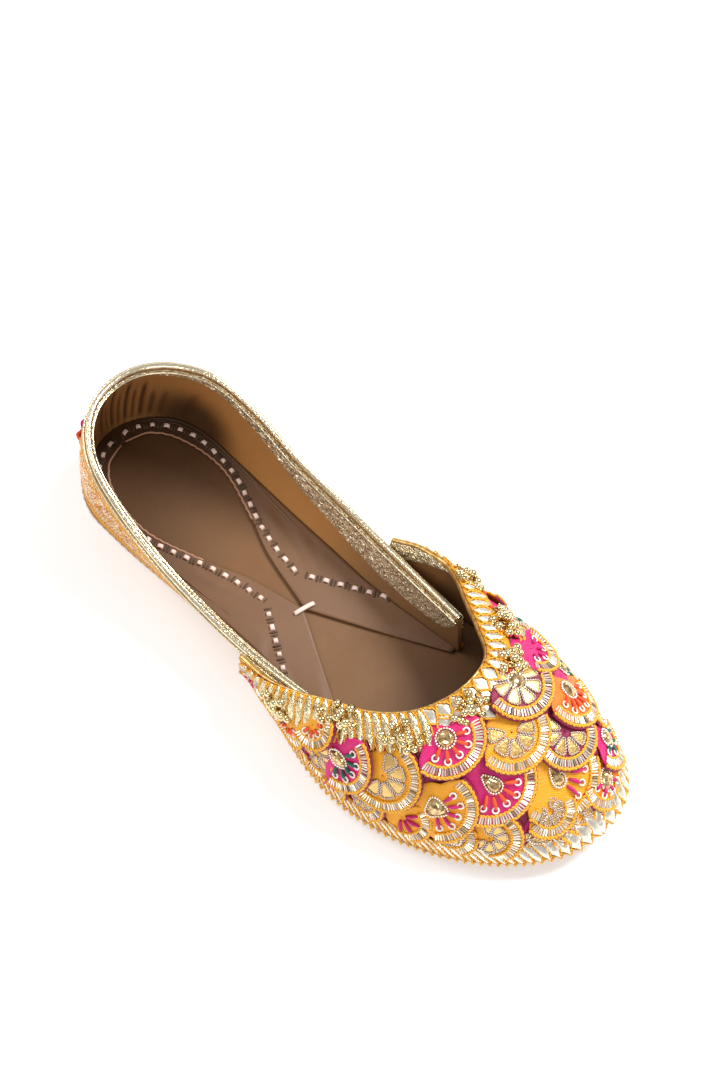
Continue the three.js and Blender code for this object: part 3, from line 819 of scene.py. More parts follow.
# ---------------------------------------------------------------- small shapes of the embroidery
def around(count, start=-180.0, end=180.0):
    return np.radians(np.linspace(start, end, count, endpoint=end - start < 359))


def pad(piece, place, outline, rise, finish=0, sunk=0.2):
    """A puffed pad over an outline. place takes x, y and a height and gives points in mm."""
    x, y = outline.T
    cx, cy = x.mean(), y.mean()
    rings = []
    for share, high in ((0.9, -sunk), (1, 0), (0.97, 0.45), (0.85, 0.8), (0.6, 0.97), (0.25, 1)):
        rings.append(place(cx + (x - cx) * share, cy + (y - cy) * share, high * rise if high > 0 else high))
    piece.rings(rings, finish, fold="point")


def loop_cord(piece, out, path, radius, finish=0):
    """A cord that closes on itself, lying flat against one outward direction."""
    piece.cord(np.concatenate([path, path[:1]]), out, radius, finish, sides=5)


def outline_of(shape, length, width, count=18):
    """Outline of a pad or stone, its length along y and its narrow end towards the centre at -y."""
    a = around(count)
    x, y = np.sin(a), -np.cos(a)
    if shape == "drop":
        x = x * (1 - 0.42 * (1 - y) / 2 * 1.6).clip(0.12, 1)
    elif shape == "marquise":
        x = x * np.abs(x) ** 0.35
    elif shape == "wedge":
        y = np.sign(y) * np.abs(y) ** 0.6
        x = np.sign(x) * np.abs(x) ** 0.6 * (0.62 + 0.38 * y)
    elif shape == "triangle":
        r = 1 / (1 + 0.15 * np.cos(3 * a))
        x, y = x * r * 1.05, y * r
    return np.column_stack([x * width / 2, y * length / 2])


def turned(outline, angle, reach):
    """An outline turned to face away from the centre at an angle, its middle at a reach."""
    x, y = outline.T
    y = y + reach
    c, s = math.cos(angle), math.sin(angle)
    return np.column_stack([x * c + y * s, y * c - x * s])


# ---------------------------------------------------------------- scallops of the vamp
# One row for each scallop: place along the vamp and up it, radius, turn, spread each way, layer, cloth,
# design, thread, stone. The first rows began from a scratch program's lookup and fit; some were adjusted.
SCALLOPS = [
    (0.416, 0.813, 13.4, 27, 77, 3, "magenta", "rays", "orange", "round"),
    (0.579, 0.828, 13.7, -32, 76, 3, "maroon", "wedges", "", "round"),
    (0.506, 0.694, 13.8, 0, 78, 2, "yellow", "flower", "", ""),
    (0.433, 0.516, 15.8, 36, 74, 1, "magenta", "rays", "orange", "drop"),
    (0.513, 0.390, 17.4, 2, 70, 0, "yellow", "rays", "magenta", "drop"),
    (0.566, 0.498, 13.0, -33, 76, 1, "maroon", "wedges", "", ""),
    (0.634, 0.500, 14.2, -46, 84, 2, "orange", "rays", "orange", "round"),
    (0.341, 0.396, 14.6, 72, 70, 2, "yellow", "rays", "magenta", "triangle"),
    (0.280, 0.545, 14.2, 44, 104, 1, "yellow", "flower", "", ""),
    (0.213, 0.555, 13.8, 62, 74, 2, "magenta", "rays", "green", "marquise"),
    (0.182, 0.770, 9.0, 30, 80, 3, "yellow", "rays", "orange", ""),
    (0.168, 0.440, 12.0, 40, 70, 0, "yellow", "wedges", "", ""),
    (0.115, 0.520, 9.5, 24, 80, 1, "yellow", "rays", "orange", ""),
    (0.392, 0.180, 11.5, 66, 70, 1, "yellow", "flower", "", ""),
    (0.345, 0.180, 9.5, 40, 74, 0, "yellow", "wedges", "", "marquise"),
    (0.452, 0.150, 10.5, 40, 76, 0, "magenta", "wedges", "", "triangle"),
    (0.505, 0.130, 9.5, 0, 80, 0, "yellow", "wedges", "", ""),
    (0.478, 0.250, 9.5, 10, 84, 0, "yellow", "wedges", "", ""),
    (0.285, 0.235, 11.5, 60, 70, 0, "yellow", "stripes", "magenta", ""),
    (0.232, 0.220, 9.0, 50, 76, 0, "magenta", "wedges", "", ""),
    (0.180, 0.180, 8.5, 40, 80, 0, "yellow", "stripes", "magenta", ""),
    (0.562, 0.170, 11.0, -40, 78, 0, "orange", "rays", "magenta", "marquise"),
    (0.612, 0.210, 11.5, -20, 80, 1, "magenta", "rays", "green", "round"),
    (0.672, 0.700, 11.0, -20, 84, 3, "magenta", "rays", "magenta", ""),
    (0.735, 0.600, 13.5, -38, 78, 2, "yellow", "flower", "", ""),
    (0.690, 0.440, 13.5, -30, 78, 1, "magenta", "rays", "green", "drop"),
    (0.790, 0.560, 13.0, -52, 76, 1, "magenta", "rays", "green", "marquise"),
    (0.668, 0.220, 11.5, -40, 78, 0, "yellow", "rays", "magenta", "drop"),
    (0.740, 0.290, 11.5, -50, 74, 0, "yellow", "stripes", "magenta", ""),
    (0.800, 0.270, 10.0, -50, 76, 0, "magenta", "wedges", "", ""),
    (0.845, 0.560, 10.5, -40, 80, 2, "yellow", "rays", "orange", ""),
    (0.858, 0.270, 9.5, -44, 80, 1, "maroon", "wedges", "", ""),
    (0.898, 0.560, 10.0, -30, 82, 1, "magenta", "rays", "orange", ""),
    (0.912, 0.270, 8.5, -30, 82, 0, "yellow", "wedges", "", ""),
    (0.948, 0.620, 9.0, -20, 84, 1, "yellow", "rays", "magenta", ""),
    (0.962, 0.300, 8.5, -16, 84, 0, "magenta", "rays", "orange", ""),
    (0.988, 0.640, 7.5, -6, 84, 0, "yellow", "wedges", "", ""),
    (0.070, 0.600, 9.0, 18, 84, 1, "magenta", "rays", "orange", ""),
    (0.064, 0.300, 8.5, 14, 84, 0, "yellow", "wedges", "", ""),
    (0.118, 0.230, 8.5, 30, 82, 0, "magenta", "rays", "orange", ""),
    (0.026, 0.620, 8.5, 8, 84, 1, "yellow", "rays", "magenta", ""),
    (0.016, 0.290, 8.0, 6, 84, 0, "magenta", "wedges", "", ""),
]
LAYER_RISE = 0.5
EDGE_RISE = 1.6
BAND_WIDTH = 2.5
# How far a fan reaches over the ones under it before their trims are left off, in mm.
OVERLAP = 1.6
# silver bars across a fan's band: mm from one to the next, their size, and the share painted in shade with
# darker silver
BAR_PITCH = 0.85
BAR_SIZE = (0.7, 0.66, BAND_WIDTH + 0.2)
DARK_BARS = 0.16
CORD_RADIUS = 0.62
# designs of puffed pads: their angles, their length, width and reach as shares of the cloth inside the
# bands, then how high the pads and their wires stand in mm
PADS = {
    "flower": ((-118, -68, -22, 24, 70, 116), 0.62, 0.64, 0.56, 0.45, 0.35),
    "wedges": ((-134, -89, -44, 1, 46, 91, 136), 0.66, 0.6, 0.6, 0.4, 0.3),
}
# length and width of the stones
STONES = {"round": (5.6, 5.6), "drop": (7.6, 6), "marquise": (7.4, 4.6), "triangle": (6.4, 6)}


class Scallop:
    """A stiff half-round fan of cloth, sewn down at its centre and standing free along its round edge."""

    def __init__(self, along, up, radius, turn, spread, layer):
        self.patch = Patch(vamp_face, along, up, turn, radius + 2)
        self.radius, self.spread, self.base = radius, math.radians(spread), 0.5 + LAYER_RISE * layer
        self.centre = vamp_face.at(along, up)
        self.sideways = unit(self.patch.at(1.0, 0.0) - self.centre)
        self.ahead = unit(self.patch.at(0.0, 1.0) - self.centre)
        self.above = []

    def under(self, along, up):
        """How far in mm a spot of the vamp lies inside the fans sewn over this one; 0 or less is open."""
        spot = vamp_face.at(along, up)
        deepest = np.full(spot.shape[:-1], -99.0)
        for fan in self.above:
            off = spot - fan.centre
            x, y, r = (off * fan.sideways).sum(-1), (off * fan.ahead).sum(-1), np.linalg.norm(off, axis=-1)
            reach = np.where(np.abs(np.arctan2(x, y)) < fan.spread + 0.1, fan.radius, fan.radius * 0.5)
            deepest = np.maximum(deepest, reach - r)
        return deepest

    def hidden(self, angle, r, margin=OVERLAP):
        spot = self.patch.spot(np.atleast_1d(r * np.sin(angle)), np.atleast_1d(r * np.cos(angle)))
        return self.under(*spot) > margin

    def flat(self, x, y, above=0.0):
        along, up = self.patch.spot(x, y)
        r = np.hypot(x, y)
        front = ease((y / np.maximum(r, 0.01) + 0.75) / 0.9)
        front = front + (1 - front) * (1 - ease(r / self.radius * 1.6))
        rise = 0.2 + front * (self.base - 0.2 + EDGE_RISE * (r / self.radius) ** 2)
        if self.above:
            rise = rise + (0.15 - rise) * ease(self.under(along, up) / 3)
        # near the sole and the throat the fan is cut off and sewn in
        low = ease(np.clip(up * vamp_face.size(np.clip(along, 0, 1)) / 5, 0, 1))
        rise = rise * (0.45 + 0.55 * low) + above
        return vamp_face.at(np.clip(along, 0.002, 0.998), np.clip(up, 0.012, 0.985), rise)

    def at(self, angle, r, above=0.0):
        return self.flat(r * np.sin(angle), r * np.cos(angle), above)

    def out(self, angle, r):
        along, up = self.patch.spot(r * np.sin(angle), r * np.cos(angle))
        return vamp_face.out(along, up)

    def sewn(self, angle, r, border=0.012):
        """Whether a spot of the fan lies on the vamp."""
        along, up = self.patch.spot(np.atleast_1d(r * np.sin(angle)), np.atleast_1d(r * np.cos(angle)))
        return (up > border) & (up < 0.985) & (along > 0.004) & (along < 0.996)

    def clear(self, angle, r, border=0.03, margin=0.5):
        """Whether one spot of the fan lies on the vamp and in the open."""
        return self.sewn(angle, r, border)[0] and not self.hidden(angle, r, margin)[0]


def make_scallops():
    cloth = Piece("scallop_fans", "magenta_cloth", MAGENTA_CLOTH, YELLOW_CLOTH, MAROON_CLOTH, ORANGE_CLOTH)
    cords = Piece("scallop_edge_cords", "marigold_cord", MARIGOLD_CORD, MAROON_CLOTH)
    bars = Piece("scallop_silver_bands", "silver_braid", SILVER_WIRE, DARK_SILVER)
    threads = Piece("scallop_ray_threads", "magenta_cloth", ORANGE_THREAD, MAGENTA_THREAD, GREEN_THREAD)
    rings = Piece("scallop_sequin_rings", "silver_braid", PEARL_SEQUIN)
    tissue = Piece("scallop_gold_tissue", "gold_foil", GOLD_TISSUE)
    wire = Piece("scallop_bead_wire", "silver_braid", BEAD_WIRE, SILVER_WIRE)
    stones = Piece("scallop_stones", "stone", CHAMPAGNE_STONE)
    cloths = {"magenta": 0, "yellow": 1, "maroon": 2, "orange": 3}
    colours = {"orange": 0, "magenta": 1, "green": 2, "": 0}

    fans = [Scallop(*row[:6]) for row in SCALLOPS]
    order = [(row[5], k) for k, row in enumerate(SCALLOPS)]
    for k, fan in enumerate(fans):
        fan.above = [other for j, other in enumerate(fans) if order[j] > order[k]]
    for fan, (_, _, radius, _, _, _, fabric, design, thread, stone) in zip(fans, SCALLOPS):
        angle = np.linspace(-fan.spread, fan.spread, 41)
        back = np.linspace(fan.spread, TAU - fan.spread, 17)[1:-1]
        angle = np.concatenate([angle, back, [angle[0] + TAU]])
        behind = np.maximum(np.abs(angle - TAU * (angle > math.pi)) - fan.spread, 0)
        shrink = 1 - 0.35 * ease(behind / 0.5)
        section = [(r, 0.0) for r in np.linspace(0.4, radius - 0.4, 9)]
        section += [(radius, -0.35), (radius - 0.4, -0.7), (radius * 0.5, -0.7), (0.4, -0.7)]
        surface = np.stack([fan.at(angle, r * shrink, high) for r, high in section], 1)
        flat = np.stack([points(r * np.sin(angle), r * np.cos(angle)) for r, _ in section], 1)
        cloth.rings(surface, cloths[fabric], fold="point", uv=flat)

        fine = np.linspace(-fan.spread, fan.spread, int(radius * fan.spread * 2 / 0.55))
        wave = 0.16 * np.sin(np.arange(len(fine)) * 1.7)
        for r, finish, size, high in (
            (radius + 0.35, 1, 0.5, -0.75), (radius - 0.3, 0, CORD_RADIUS, 0.15),
            (radius - 1.25 - BAND_WIDTH, 0, CORD_RADIUS * 0.85, 0.3),
        ):
            reach = r + (wave if finish == 0 else 0 * wave)
            line, out = fan.at(fine, reach, high), fan.out(fine, reach)
            seen = np.flatnonzero(~fan.hidden(fine, reach))
            for run in np.split(seen, np.flatnonzero(np.diff(seen) > 1) + 1):
                if len(run) > 5:
                    cords.cord(line[run], out[run], size, finish, sides=6)

        count = int(2 * fan.spread * (radius - 2.5) / BAR_PITCH)
        shape = template("bar", 6)
        for a in np.linspace(-fan.spread, fan.spread, count):
            r = radius - 0.95 - BAND_WIDTH / 2
            if not fan.clear(a, r, 0.012, OVERLAP):
                continue
            low, high = fan.at(a, r - 0.6), fan.at(a, r + 0.6)
            radial, out = unit(high - low), fan.out(a, r)
            middle_of = fan.at(a + rng.normal(0, 0.006), r, 0.25 + rng.normal(0, 0.07))
            side = unit(np.cross(out, radial))
            lean = rng.normal(0, 0.2)
            across = side * math.cos(lean) + out * math.sin(lean)
            # some bars take the darker silver: painted shade
            finish = int(rng.random() < DARK_BARS)
            bars.put(shape, middle_of, across, unit(np.cross(radial, across)), radial, BAR_SIZE, finish)

        inner = radius - 1.1 - BAND_WIDTH - 0.6
        if design in ("rays", "stripes"):
            count = max(4, int(2 * fan.spread * inner * 0.62 / 2.9))
            for k, a in enumerate(np.linspace(-fan.spread * 0.86, fan.spread * 0.86, count)):
                start, end = (inner * 0.44, inner * 0.86) if k % 2 else (inner * 0.4, inner * 0.8)
                if design == "stripes":
                    start, end = inner * 0.25, inner * 0.97
                if not fan.clear(a, end) or fan.hidden(a, start, 3)[0]:
                    continue
                t = np.linspace(0, 1, 6)
                r = start + (end - start) * t
                bow = 0.35 + 0.45 * np.sin(math.pi * t)
                a_line = a + rng.normal(0, 0.03) * t
                threads.cord(fan.at(a_line, r, bow), fan.out(a_line, r), 0.45 + 0.28 * np.sin(math.pi * t),
                             colours[thread], sides=6)
                if design == "rays":
                    turn_round = around(14)
                    x = end * math.sin(a) + 1.05 * np.sin(turn_round)
                    y = end * math.cos(a) + 1.05 * np.cos(turn_round)
                    loop_cord(rings, fan.out(a, end), fan.flat(x, y, 0.45), 0.36)
        if design in PADS:
            angles, length, width, reach, high, wire_high = PADS[design]
            for a in np.radians(angles):
                if not fan.clear(a, inner * 0.6):
                    continue
                outline = turned(outline_of("wedge", inner * length, inner * width), a, inner * reach)
                pad(tissue, fan.flat, outline, high)
                loop_cord(wire, fan.out(a, inner / 2), fan.flat(*outline.T, wire_high), 0.42)
        if stone and not fan.hidden(0, 0)[0]:
            set_stone(stones, wire, fan, stone, *STONES[stone], 0.3)
    for piece in (cloth, cords, threads, rings, tissue, wire):
        piece.sew()
    for piece in (bars, stones):
        piece.sew(smooth=False)


def set_stone(stones, wire, fan, shape, length, width, reach):
    """A faceted stone in a rim of beads."""
    outline = turned(outline_of(shape, length, width, 12), 0, reach)
    centre = outline.mean(0)
    rings = []
    for share, high, twist in ((0.98, 0.0, 0), (1, 0.5, 0), (0.8, 1.15, 1), (0.55, 1.55, 0), (0.25, 1.7, 1)):
        x, y = (centre + (outline - centre) * share).T
        if twist:
            x, y = ((v + np.roll(v, 1)) / 2 for v in (x, y))
        rings.append(fan.flat(x, y, high))
    stones.rings(rings, 0, fold="point")
    rim_line = turned(outline_of(shape, length + 1.1, width + 1.1, 40), 0, reach)
    step = np.linalg.norm(np.diff(np.concatenate([rim_line, rim_line[:1]]), axis=0), axis=1)
    reach_line = np.concatenate([[0], np.cumsum(step)])
    count = int(reach_line[-1] / 0.95)
    closed = np.concatenate([rim_line, rim_line[:1]])
    for s in np.arange(count) / count * reach_line[-1]:
        spot = [np.interp(s, reach_line, closed[:, k]) for k in (0, 1)]
        wire.ball(fan.flat(*spot, 0.45), 0.52, 1, sides=(6, 4))


# ---------------------------------------------------------------- braid leaves round the throat and the sole
# mm from one leaf to the next along the throat: near folds, lozenges, far leaves
FOLD_PITCH, LOZENGE_PITCH, LEAF_PITCH = 3.15, 5.2, 4.1


def leaf(body, cords, start, end, width, rise, crinkle=0.0, stand=0.35, finish=0, pointed=0.8, tip=0.0,
         ridge=False):
    """A folded ribbon leaf on the vamp, corded. Its ends are (along, drop below the top edge in mm)."""
    rows, columns = 13, 7
    t = np.linspace(0, 1, rows)
    along = start[0] + (end[0] - start[0]) * t
    drop = start[1] + (end[1] - start[1]) * t
    up = vamp_face.below(along, drop)
    out = vamp_face.out(along, up)
    spine = vamp_face.at(along, up, stand + tip * t)
    side = unit(np.cross(out, np.gradient(spine, axis=0)))
    half = width / 2 * np.sin(math.pi * np.clip(t, 0.02, 0.98)) ** pointed
    if ridge:
        half = width / 2 * np.clip(1.35 - abs(2 * t - 1) * 1.33, 0.02, 1)
    rings = []
    for s in np.linspace(-1, 1, columns):
        bulge = rise * (1 - abs(s) if ridge else 1 - s * s)
        bulge = bulge + crinkle * rng.normal(0, 1, rows) * (abs(s) < 0.99)
        rings.append(spine + side * (half * s)[:, None] + out * (bulge * (half > 0.3))[:, None])
    for s in (0.8, 0, -0.8):
        rings.append(spine + side * (half * s)[:, None] - out * 0.25)
    body.rings(np.stack(rings, 1), finish, fold="point")
    for s in (-1, 1):
        edge_line = spine + side * (half * s * 1.02)[:, None] + out * 0.35
        cords.cord(edge_line, out, 0.34, 0, sides=5)


def make_throat_braid():
    body = Piece("throat_braid_leaves", "silver_braid", CRINKLED_SILVER, WHITE_SATIN)
    cords = Piece("throat_braid_cords", "marigold_cord", MARIGOLD_CORD, YELLOW_CLOTH)
    spots = Piece("throat_red_spots", "magenta_cloth", ORANGE_THREAD)
    length = throat_line.length
    base = [
        (0, 8), (0.1, 10), (0.3, 13), (0.42, 11), (0.5, 14), (0.58, 11), (0.7, 11.5), (0.9, 10.5), (1, 8),
    ]
    strip(cords, vamp_face, 0.003, 0.997, lambda a: read(base, 1, a), lambda a: 0.5, 0.05, 0.35,
          columns=200, finish=1)
    place = 0.012
    while place < 0.405:
        # near side: crinkled folds, their lower ends nearer the heel
        lean = 4.0 / length
        long = 9.5 + 6.5 * math.sin(math.pi * min(place / 0.3, 1.0) / 2)
        leaf(body, cords, (place + lean * 0.6, 0.3), (place - lean * 0.6, long), 3.9, 1.1, crinkle=0.2,
             pointed=0.35, stand=0.6)
        place += FOLD_PITCH / length
    for row, (drop, shift) in enumerate(((0.2, 0), (4.4, 0.5), (8.6, 0))):
        # centre: three rows of satin lozenges
        for k in range(9):
            a = 0.418 + (k + shift) * LOZENGE_PITCH / length
            if a < 0.575 and (row < 2 or 0.455 < a < 0.54):
                leaf(body, cords, (a, drop), (a + 0.002, drop + 7.2), 5.7, 0.5, finish=1, pointed=0.8,
                     stand=0.75 + 0.12 * row, ridge=True)
    place = 0.585
    while place < 0.99:
        # far side: smooth satin leaves across the edge
        leaf(body, cords, (place, 0.3), (place + 3.6 / length, 9.8), 5.0, 0.6, crinkle=0.05, finish=1,
             pointed=0.65, stand=0.6, ridge=True)
        if int(place * 1000) % 3 == 0:
            a = np.array([place + 1.5 / length])
            spots.ball(vamp_face.at(a, vamp_face.below(a, 9.5), 0.9)[0], 1.1, 0, sides=(6, 4))
        place += LEAF_PITCH / length
    body.sew()
    cords.sew()
    spots.sew()

    binding = Piece("throat_gold_binding", "gold_piping", GOLD_EDGE)
    share = np.linspace(0.0, 1, 240)
    line = vamp_face.at(share, 1 + 0 * share, 0)
    inner = vamp_face.at(share, 1 + 0 * share, -VAMP_WALL)
    across = unit(line - inner)
    out = np.cross(across, np.gradient(line, axis=0)) * -1
    binding.cord((line + inner) / 2 + (0, 0, 0.1), out, 1.15, sides=8, flat=0.55)
    binding.sew()


def make_sole_braid():
    body = Piece("sole_braid_folds", "silver_braid", WHITE_SATIN, CRINKLED_SILVER)
    cords = Piece("sole_braid_cords", "marigold_cord", MARIGOLD_CORD, PALE_GOLD_LOOP)
    length = feather.length
    place = 0.015
    while place < 0.985:
        toe = math.exp(-((place - 0.52) / 0.1) ** 2)
        way = 1 if place < 0.52 else -1
        height = vamp_face.size(place)
        wing = ease(min(place, 1 - place) / 0.16)
        reach = 3.5 + 3.3 * wing + 2.4 * toe
        shift = way * (8.0 - 6.0 * toe) / length
        width = 2.7 + 4.4 * toe
        finish = int(rng.random() < 0.3 * (1 - toe))
        leaf(body, cords, (place, height - reach), (place + shift, height + 1.7), width, 0.7 + 0.8 * toe,
             crinkle=0.05 * (1 - toe), stand=0.4, tip=1.7, finish=finish, ridge=toe > 0.4)
        end = np.array([place + shift])
        t = np.linspace(-1, 1, 7)
        bow = 1 - t * t
        path = vamp_face.at(end + 0.0022 * t, (-0.5 - 1.5 * bow) / vamp_face.size(end), 1.9 + 0.3 * bow)
        cords.cord(path, vamp_face.out(end, end * 0), 0.42, 1, sides=6)
        place += (2.9 + 2.2 * toe) / length
    body.sew()
    cords.sew()


# ---------------------------------------------------------------- beads
# place of each cluster along the vamp and up it
CLUSTERS = [
    (0.1, 0.732), (0.238, 0.882), (0.35, 0.844), (0.485, 0.902), (0.615, 0.859), (0.72, 0.793),
    (0.837, 0.827),
]


def make_beads():
    for number, (along, up) in enumerate(CLUSTERS, 1):
        beads = Piece(f"gold_beads_{number}", "bead", GOLD_BEAD, BEAD_RING)
        patch = Patch(vamp_face, along, up, 0, 9)
        spots = []
        for ring, count, high in ((5.2, 8, 1.7), (2.6, 5, 2.3), (0, 1, 3.0)):
            for k in range(count):
                a = k / max(count, 1) * TAU + rng.normal(0, 0.22) + ring
                r = ring + rng.normal(0, 0.35)
                spots.append((r * math.sin(a) * 1.25, r * math.cos(a) * 0.85, high + rng.normal(0, 0.25)))
        for k, (x, y, high) in enumerate(spots):
            if k % 5 == 4:
                turn_round = around(12)
                loop = patch.at(x + 0.95 * np.sin(turn_round), y + 0.95 * np.cos(turn_round), high)
                loop_cord(beads, patch.face.out(along, up), loop, 0.4, 1)
            else:
                beads.ball(patch.at(x, y, high), BEAD_RADIUS * rng.uniform(0.92, 1.04), 0, sides=(16, 10))
        for _ in range(6):
            a, r = rng.uniform(0, TAU), rng.uniform(2, 6)
            beads.ball(patch.at(r * math.sin(a) * 1.2, r * math.cos(a) * 0.85, 1.0), 0.75, 0, sides=(8, 6))
        beads.sew(replaces=[f"bead_cluster_{number}"])


# ---------------------------------------------------------------- thong stitches of the turned-in lining
STITCH_ROW = [
    (6.9, 1.6), (7.6, 6), (9.8, 10.8), (14, 15.6), (19.5, 19.2), (30, 22.4), (50, 21.4), (62, 17.6),
    (74, 13.1), (86, 10.2), (98, 8.5),
]
STITCH_ROW_FRONT = [(102.5, 10), (128, 24.7), (160, 42.5)]
STITCH_PITCH = 5.6


def make_stitches():
    lace = Piece("thong_stitches", "thong", RAW_LEATHER)
    slit_shadows = Piece("thong_stitch_slit_shadows", "lining_leather", SLIT_SHADOW)
    top = WALL_FOOT + FLAP_THICKNESS
    for side in (-1, 1):
        for row, tail in ((STITCH_ROW, 0), (STITCH_ROW_FRONT, 1)):
            line = Line([(x, side * y, 0) for x, y in row], 6)
            count = int(line.length / STITCH_PITCH)
            for k in range(count + 1):
                share = min((k + 0.4) * STITCH_PITCH / line.length, 1)
                spot, ahead = line.at(np.array([share]))[0], line.ahead(np.array([share]))[0]
                if tail and abs(spot[1]) > half_width(spot[0], VAMP_INSET) - 7:
                    continue
                spot[2] = top + 0.25 + lift(spot[0])
                across = np.array((-ahead[1], ahead[0], 0))
                lean = rng.normal(0, 0.12)
                way = ahead * math.cos(lean) + across * math.sin(lean)
                t = np.linspace(-1, 1, 7)
                long = rng.uniform(0.9, 1.25)
                path = spot + way * (t * long)[:, None] + np.array(UP) * (0.35 - 0.75 * t**4)[:, None]
                lace.cord(path, UP, 0.88, 0, sides=8, flat=0.5)
                # dark bars at both ends of the stitch: painted shadow in the slits
                for s in (-1, 1):
                    centre = spot + way * (s * 2.15) - (0, 0, 0.45)
                    path = centre + across * (np.linspace(-1, 1, 5) * 1.5)[:, None]
                    path[:, 2] += 0.2 * (1 - np.linspace(-1, 1, 5) ** 2)
                    slit_shadows.cord(path, UP, 0.5, 0, sides=6, flat=0.6)
    x, half = 112.0, 4.2
    t = np.linspace(-1, 1, 9)
    path = points(x + 0.9 * t, half * t, top + lift(np.full(9, x)) + 0.75 - 0.5 * t**4)
    lace.cord(path, UP, 0.95, 0, sides=8, flat=0.6)
    lace.sew()
    slit_shadows.sew()


# ---------------------------------------------------------------- trims of the quarter
def strip(piece, face, start, end, low, high, stand, thickness, finish=0, jagged=0.0, columns=240, rows=5,
          crinkle=0.0):
    """A thin closed strip along a face between two drops below its top, as functions of the place along."""
    at = np.linspace(start, end, columns)
    top = np.broadcast_to(high(at), at.shape)
    bottom = np.broadcast_to(low(at), at.shape) + jagged * rng.normal(0, 1, columns)
    rings = []
    for level in (0, 1):
        for s in (np.linspace(0, 1, rows) if level == 0 else np.linspace(1, 0, rows)):
            drop = top + (bottom - top) * s
            raised = stand + (thickness if level == 0 else 0)
            if crinkle and (level == 1) == (stand < 0) and 0 < s < 1:
                raised = raised + crinkle * rng.normal(0, 1, columns)
            rings.append(face.at(at, face.below(at, drop), raised))
    piece.rings(np.stack(rings, 1), finish, fold="point")


# mm from one stitch to the next
EMBROIDERY_PITCH = 1.35
RAND_STITCH_PITCH = 3.4


def make_quarter_trims():
    half = QUARTER_WALL / 2
    foil_piece = Piece("topline_crinkled_foil", "gold_foil", CRINKLED_FOIL)
    width = [
        (0, 2.5), (0.022, 13), (0.1, 12.5), (0.2, 9.5), (0.3, 6.5), (0.4, 4.4), (0.5, 3.4), (0.6, 4.4),
        (0.7, 6.5), (0.8, 9.5), (0.9, 12.5), (0.978, 13), (1, 2.5),
    ]
    strip(foil_piece, quarter_face, 0.003, 0.997, lambda at: read(width, 1, at), lambda at: -0.2,
          -half - 0.36, 0.3, jagged=0.18, columns=330, rows=9, crinkle=0.24)
    foil_piece.sew(smooth=False)

    band = Piece("topline_outer_band", "gold_piping", GOLD_BAND)
    strip(band, quarter_face, 0.0, 1.0, lambda at: 3.2, lambda at: -0.3, half - 0.1, 0.6)
    band.sew()

    stitches = Piece("quarter_embroidery", "quarter_cloth", GOLD_STITCH, PINK_GOLD_STITCH, MARIGOLD_CORD)
    cords = Piece("quarter_cords", "marigold_cord", MARIGOLD_CORD, BEAD_WIRE)
    at = np.linspace(0.0, 1.0, 700)
    outer_length = np.linalg.norm(np.diff(quarter_face.at(at, 0.7 + 0 * at), axis=0), axis=1).sum()
    shape = template("bar", 5)
    for share in np.linspace(0.10, 0.97, 15):
        row = int(round(share * 100))
        for a in np.arange(0.006, 0.984, EMBROIDERY_PITCH / outer_length):
            height = quarter_face.size(a)
            drop = 4.0 + (height - 5.5) * share
            rows_here = (height - 5.5) / 14
            if rows_here < 1.1 and int(row / 6) % 2:
                continue
            up = 1 - drop / height
            if up < 0.03:
                continue
            spot = quarter_face.at(a, up, half + 0.25)
            out = quarter_face.out(np.array(a), np.array(up))
            ahead = unit(quarter_face.look(quarter_face.by_along, np.array(a), np.array(up)))
            climb = unit(np.cross(out, ahead))
            lean = (1 if int(row / 6) % 2 else -1) * 0.75 + rng.normal(0, 0.15)
            way = ahead * math.cos(lean) + climb * math.sin(lean)
            stitches.put(shape, spot, unit(np.cross(way, out)), out, way, (0.75, 0.6, 2.0),
                         int(rng.choice([0, 0, 1, 1, 2])))
    stitches.sew(smooth=False)

    for drop, radius, finish, zigzag in ((3.7, 0.5, 0, 0), (5.0, 0.42, 1, 0.8), (8.2, 0.42, 0, 0.9)):
        wave = zigzag * (2 / math.pi) * np.arcsin(np.sin(at * outer_length / 2.6 * math.pi))
        line = quarter_face.at(at, quarter_face.below(at, drop + wave), half + 0.5)
        cords.cord(line, quarter_face.out(at, 0.8 + 0 * at), radius, finish, sides=5)
    scallop = 0.7 * np.abs(np.sin(at * outer_length / 3.2 * math.pi / 2))
    for low, stand in ((0.9, half + 0.6), (2.6, half + 0.5)):
        up = (low + scallop) / quarter_face.size(at)
        cords.cord(quarter_face.at(at, up, stand), quarter_face.out(at, up), 0.6, 0, sides=5)
    cords.sew()

    facing = Piece("vamp_wing_foil", "gold_foil", CRINKLED_FOIL)
    for start, end in ((0.002, 0.33), (0.62, 0.998)):
        deep = [(start, 6.5), ((start + end) / 2, 4.5), (end, 1.2)] if start < 0.5 else \
            [(start, 1.0), ((start + end) / 2, 3.8), (end, 7.5)]
        strip(facing, vamp_face, start, end, lambda a: read(deep, 1, a), lambda a: 0.3,
              -VAMP_WALL - 0.32, 0.25, jagged=0.12, columns=110, rows=6, crinkle=0.15)
    facing.sew(smooth=False)


